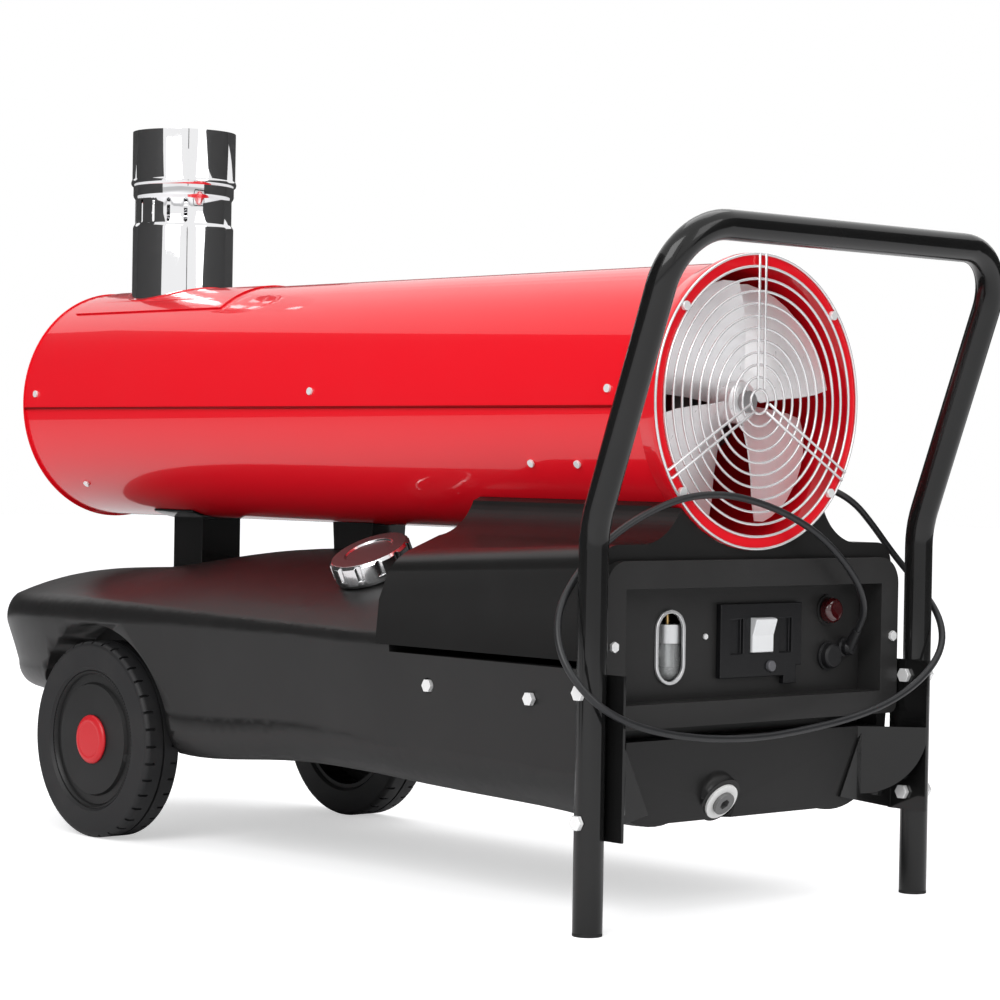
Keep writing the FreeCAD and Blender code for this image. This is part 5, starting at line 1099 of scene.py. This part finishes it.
@dataclass
class PowerLead:
    """Mains lead from its gland, round both legs, to the plug on the cover's shoulder."""

    bench: Bench
    diameter: float = 7 * MM
    length: float = 1.489
    tip: Point = (0.49830, 0.15280, 0.26840)
    rest: Point = (0.320, 0.165, 0.3733)
    route: tuple[Point, ...] = (
        (0.5076, 0.1501, 0.2799), (0.517, 0.141, 0.295), (0.523, 0.125, 0.315), (0.525, 0.102, 0.337),
        (0.523, 0.072, 0.361), (0.520, 0.036, 0.380), (0.516, -0.008, 0.395), (0.513, -0.058, 0.404),
        (0.509, -0.110, 0.401), (0.502, -0.158, 0.384), (0.492, -0.198, 0.358), (0.487, -0.230, 0.326),
        (0.492, -0.257, 0.293), (0.511, -0.270, 0.256), (0.535, -0.259, 0.221), (0.548, -0.226, 0.198),
        (0.549, -0.172, 0.184), (0.548, -0.108, 0.176), (0.548, -0.042, 0.174), (0.548, 0.026, 0.179),
        (0.548, 0.092, 0.187), (0.549, 0.150, 0.201), (0.549, 0.199, 0.224), (0.542, 0.235, 0.252),
        (0.521, 0.254, 0.282), (0.491, 0.254, 0.313), (0.471, 0.237, 0.344), (0.466, 0.211, 0.373),
        (0.463, 0.184, 0.397), (0.450, 0.158, 0.411), (0.427, 0.144, 0.415), (0.399, 0.147, 0.407),
        (0.376, 0.156, 0.393), (0.356, 0.162, 0.380), (0.338, 0.165, 0.3733))

    def build(self) -> None:
        """Make the cord and dress its plug."""
        plug = self.bench.skin(CORD_RUBBER, "cord_plug", soften=0.8)[0]
        line = bpy.data.curves.new("power_lead", "CURVE")
        line.dimensions = "3D"
        line.bevel_depth = self.diameter / 2
        line.bevel_resolution = 4
        line.resolution_u = 6
        line.use_fill_caps = True
        spline = line.splines.new("NURBS")
        points = (self.tip, *self.route, self.rest)
        spline.points.add(len(points) - 1)
        for knot, place in zip(spline.points, points):
            knot.co = (*place, 1.0)
        spline.order_u = 3
        spline.use_endpoint_u = True
        cord = bpy.data.objects.new("power_lead", line)
        bpy.context.scene.collection.objects.link(cord)
        self.bench.finish(cord, "power_lead", CORD_RUBBER, self.bench.body_of["power_cord"])
        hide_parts("power_cord")


# ---------------------------------------- studio
@dataclass
class Studio:
    """Camera, lamps, pale floor and white surroundings."""

    eye: Point = (2.427571, -2.091601, 0.430716)
    yaw: float = 0.832
    pitch: float = 0.013
    roll: float = 0.017
    lens: float = 105.663
    surroundings: float = 0.62
    floor_size: float = 30.0
    floor_tone: Colour = (0.93, 0.93, 0.94)
    floor_lift: float = 0.5
    lamps: tuple[tuple[str, Point, Point, float, float], ...] = (
        ("key", (1.6, -3.4, 3.0), (0.0, 0.0, 0.45), 2.6, 100.0),
        ("side", (3.6, 0.6, 2.2), (0.2, 0.0, 0.4), 2.0, 26.0),
        ("top", (-0.6, 0.8, 3.6), (0.0, 0.0, 0.4), 2.4, 34.0))
    flags: tuple[tuple[str, float, float, float, float, float], ...] = (
        ("left_flag", -132.0, 3.2, 5.6, 0.0, 3.2),
        ("right_flag", 50.0, 3.2, 5.0, 0.0, 2.6),
        ("back_left_flag", 165.0, 3.4, 4.6, 0.0, 1.5),
        ("back_right_flag", 112.0, 3.4, 4.2, 0.0, 1.5),
        ("strip_flag", -29.0, 5.0, 0.16, 0.6, 2.6))

    def build(self) -> None:
        """Set up the camera, the lamps, the world and the floor."""
        self._camera()
        for name, place, aim, size, power in self.lamps:
            self._lamp(name, place, aim, size, power)
        for name, turn, away, width, foot, top in self.flags:
            self._flag(name, turn, away, width, foot, top)
        self._world()
        self._floor()
        bpy.context.scene.view_settings.view_transform = "Standard"

    def _camera(self) -> None:
        """Place the camera by its yaw, pitch and roll."""
        look = Vector((-math.sin(self.yaw) * math.cos(self.pitch), math.cos(self.yaw) * math.cos(self.pitch),
                       -math.sin(self.pitch)))
        side = look.cross(Vector((0, 0, 1))).normalized()
        rise = side.cross(look)
        right = side * math.cos(self.roll) + rise * math.sin(self.roll)
        up = rise * math.cos(self.roll) - side * math.sin(self.roll)
        data = bpy.data.cameras.new("camera")
        data.lens = self.lens
        data.sensor_width = 36.0
        data.clip_end = 50.0
        camera = bpy.data.objects.new("camera", data)
        turn = Matrix((right, up, -look)).transposed().to_4x4()
        camera.matrix_world = Matrix.Translation(self.eye) @ turn
        bpy.context.scene.collection.objects.link(camera)
        bpy.context.scene.camera = camera

    @staticmethod
    def _lamp(name: str, place: Point, aim: Point, size: float, power: float) -> None:
        """Add a soft square lamp that points at a place.

        Args:
            name: The lamp's name.
            place: Where it stands.
            aim: What it points at.
            size: Width of the square, in metres.
            power: Its power, in watts.
        """
        data = bpy.data.lights.new(name, "AREA")
        data.shape = "SQUARE"
        data.size = size
        data.energy = power
        lamp = bpy.data.objects.new(name, data)
        lamp.location = place
        lamp.rotation_euler = (Vector(aim) - Vector(place)).to_track_quat("-Z", "Y").to_euler()
        bpy.context.scene.collection.objects.link(lamp)

    @staticmethod
    def _flag(name: str, turn: float, away: float, width: float, foot: float, top: float) -> None:
        """Stand a black flag beside the set, which only shows as a dark band in glossy surfaces.

        Args:
            name: Its name.
            turn: Direction of its middle from the origin, in degrees from X.
            away: Distance from the origin.
            width: Its width.
            foot: Height of its lower edge.
            top: Height of its upper edge.
        """
        Bench.clear()
        angle = math.radians(turn)
        middle = (away * math.cos(angle), away * math.sin(angle), (foot + top) / 2)
        bpy.ops.mesh.primitive_plane_add(size=1.0, location=middle,
                                         rotation=(math.pi / 2, 0.0, angle + math.pi / 2))
        flag = bpy.context.object
        flag.name = name
        flag.scale = (width, top - foot, 1.0)
        for ray in ("camera", "diffuse", "transmission", "volume_scatter", "shadow"):
            setattr(flag, "visible_" + ray, False)
        cloth = bpy.data.materials.get("flag_black") or bpy.data.materials.new("flag_black")
        cloth.use_nodes = True
        fill(cloth.node_tree.nodes["Principled BSDF"],
             {"Base Color": (*FLAG_TONE, 1.0), "Roughness": 1.0, "Specular IOR Level": 0.0})
        flag.data.materials.append(cloth)

    def _world(self) -> None:
        """White to the camera and in reflections, softer as light.

        The world isn't sampled as a lamp, or its light would pass through the flags.
        """
        world = bpy.data.worlds.new("white_room")
        bpy.context.scene.world = world
        world.cycles.sampling_method = "NONE"
        world.use_nodes = True
        nodes, links = world.node_tree.nodes, world.node_tree.links
        shine = nodes["Background"]
        path = nodes.new("ShaderNodeLightPath")
        seen = nodes.new("ShaderNodeMath")
        seen.operation = "MAXIMUM"
        links.new(path.outputs["Is Camera Ray"], seen.inputs[0])
        links.new(path.outputs["Is Transmission Ray"], seen.inputs[1])
        glossy = nodes.new("ShaderNodeMath")
        glossy.operation = "MAXIMUM"
        links.new(seen.outputs["Value"], glossy.inputs[0])
        links.new(path.outputs["Is Glossy Ray"], glossy.inputs[1])
        level = nodes.new("ShaderNodeMapRange")
        fill(level, {"To Min": self.surroundings, "To Max": 1.0})
        links.new(glossy.outputs["Value"], level.inputs["Value"])
        links.new(level.outputs["Result"], shine.inputs["Strength"])
        fill(shine, {"Color": (1.0, 1.0, 1.0, 1.0)})

    def _floor(self) -> None:
        """Pale floor that keeps the heater's shadow."""
        Bench.clear()
        bpy.ops.mesh.primitive_plane_add(size=self.floor_size, location=(0.0, 0.0, 0.0))
        floor = bpy.context.object
        floor.name = "studio_floor"
        made = bpy.data.materials.new("pale_floor")
        made.use_nodes = True
        nodes, links = made.node_tree.nodes, made.node_tree.links
        shader = nodes["Principled BSDF"]
        fill(shader, {"Base Color": (*self.floor_tone, 1.0), "Roughness": 0.9, "Specular IOR Level": 0.1,
                      "Emission Color": (1.0, 1.0, 1.0, 1.0)})
        path = nodes.new("ShaderNodeLightPath")
        lift = nodes.new("ShaderNodeMath")
        lift.operation = "MULTIPLY"
        lift.inputs[1].default_value = self.floor_lift
        links.new(path.outputs["Is Camera Ray"], lift.inputs[0])
        links.new(lift.outputs["Value"], shader.inputs["Emission Strength"])
        floor.data.materials.append(made)


def main() -> None:
    """Build the heater and its studio."""
    logging.basicConfig(level=logging.INFO, format="%(name)s: %(message)s")
    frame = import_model()
    Studio().build()
    bench = Bench(frame["nodes"], Effects())
    for assembly in (PowerLead, Drum, Flue, FanUnit, Tank, RunningGear, PushHandle, Housing, ControlPanel):
        assembly(bench).build()


if __name__ == "__main__":
    main()
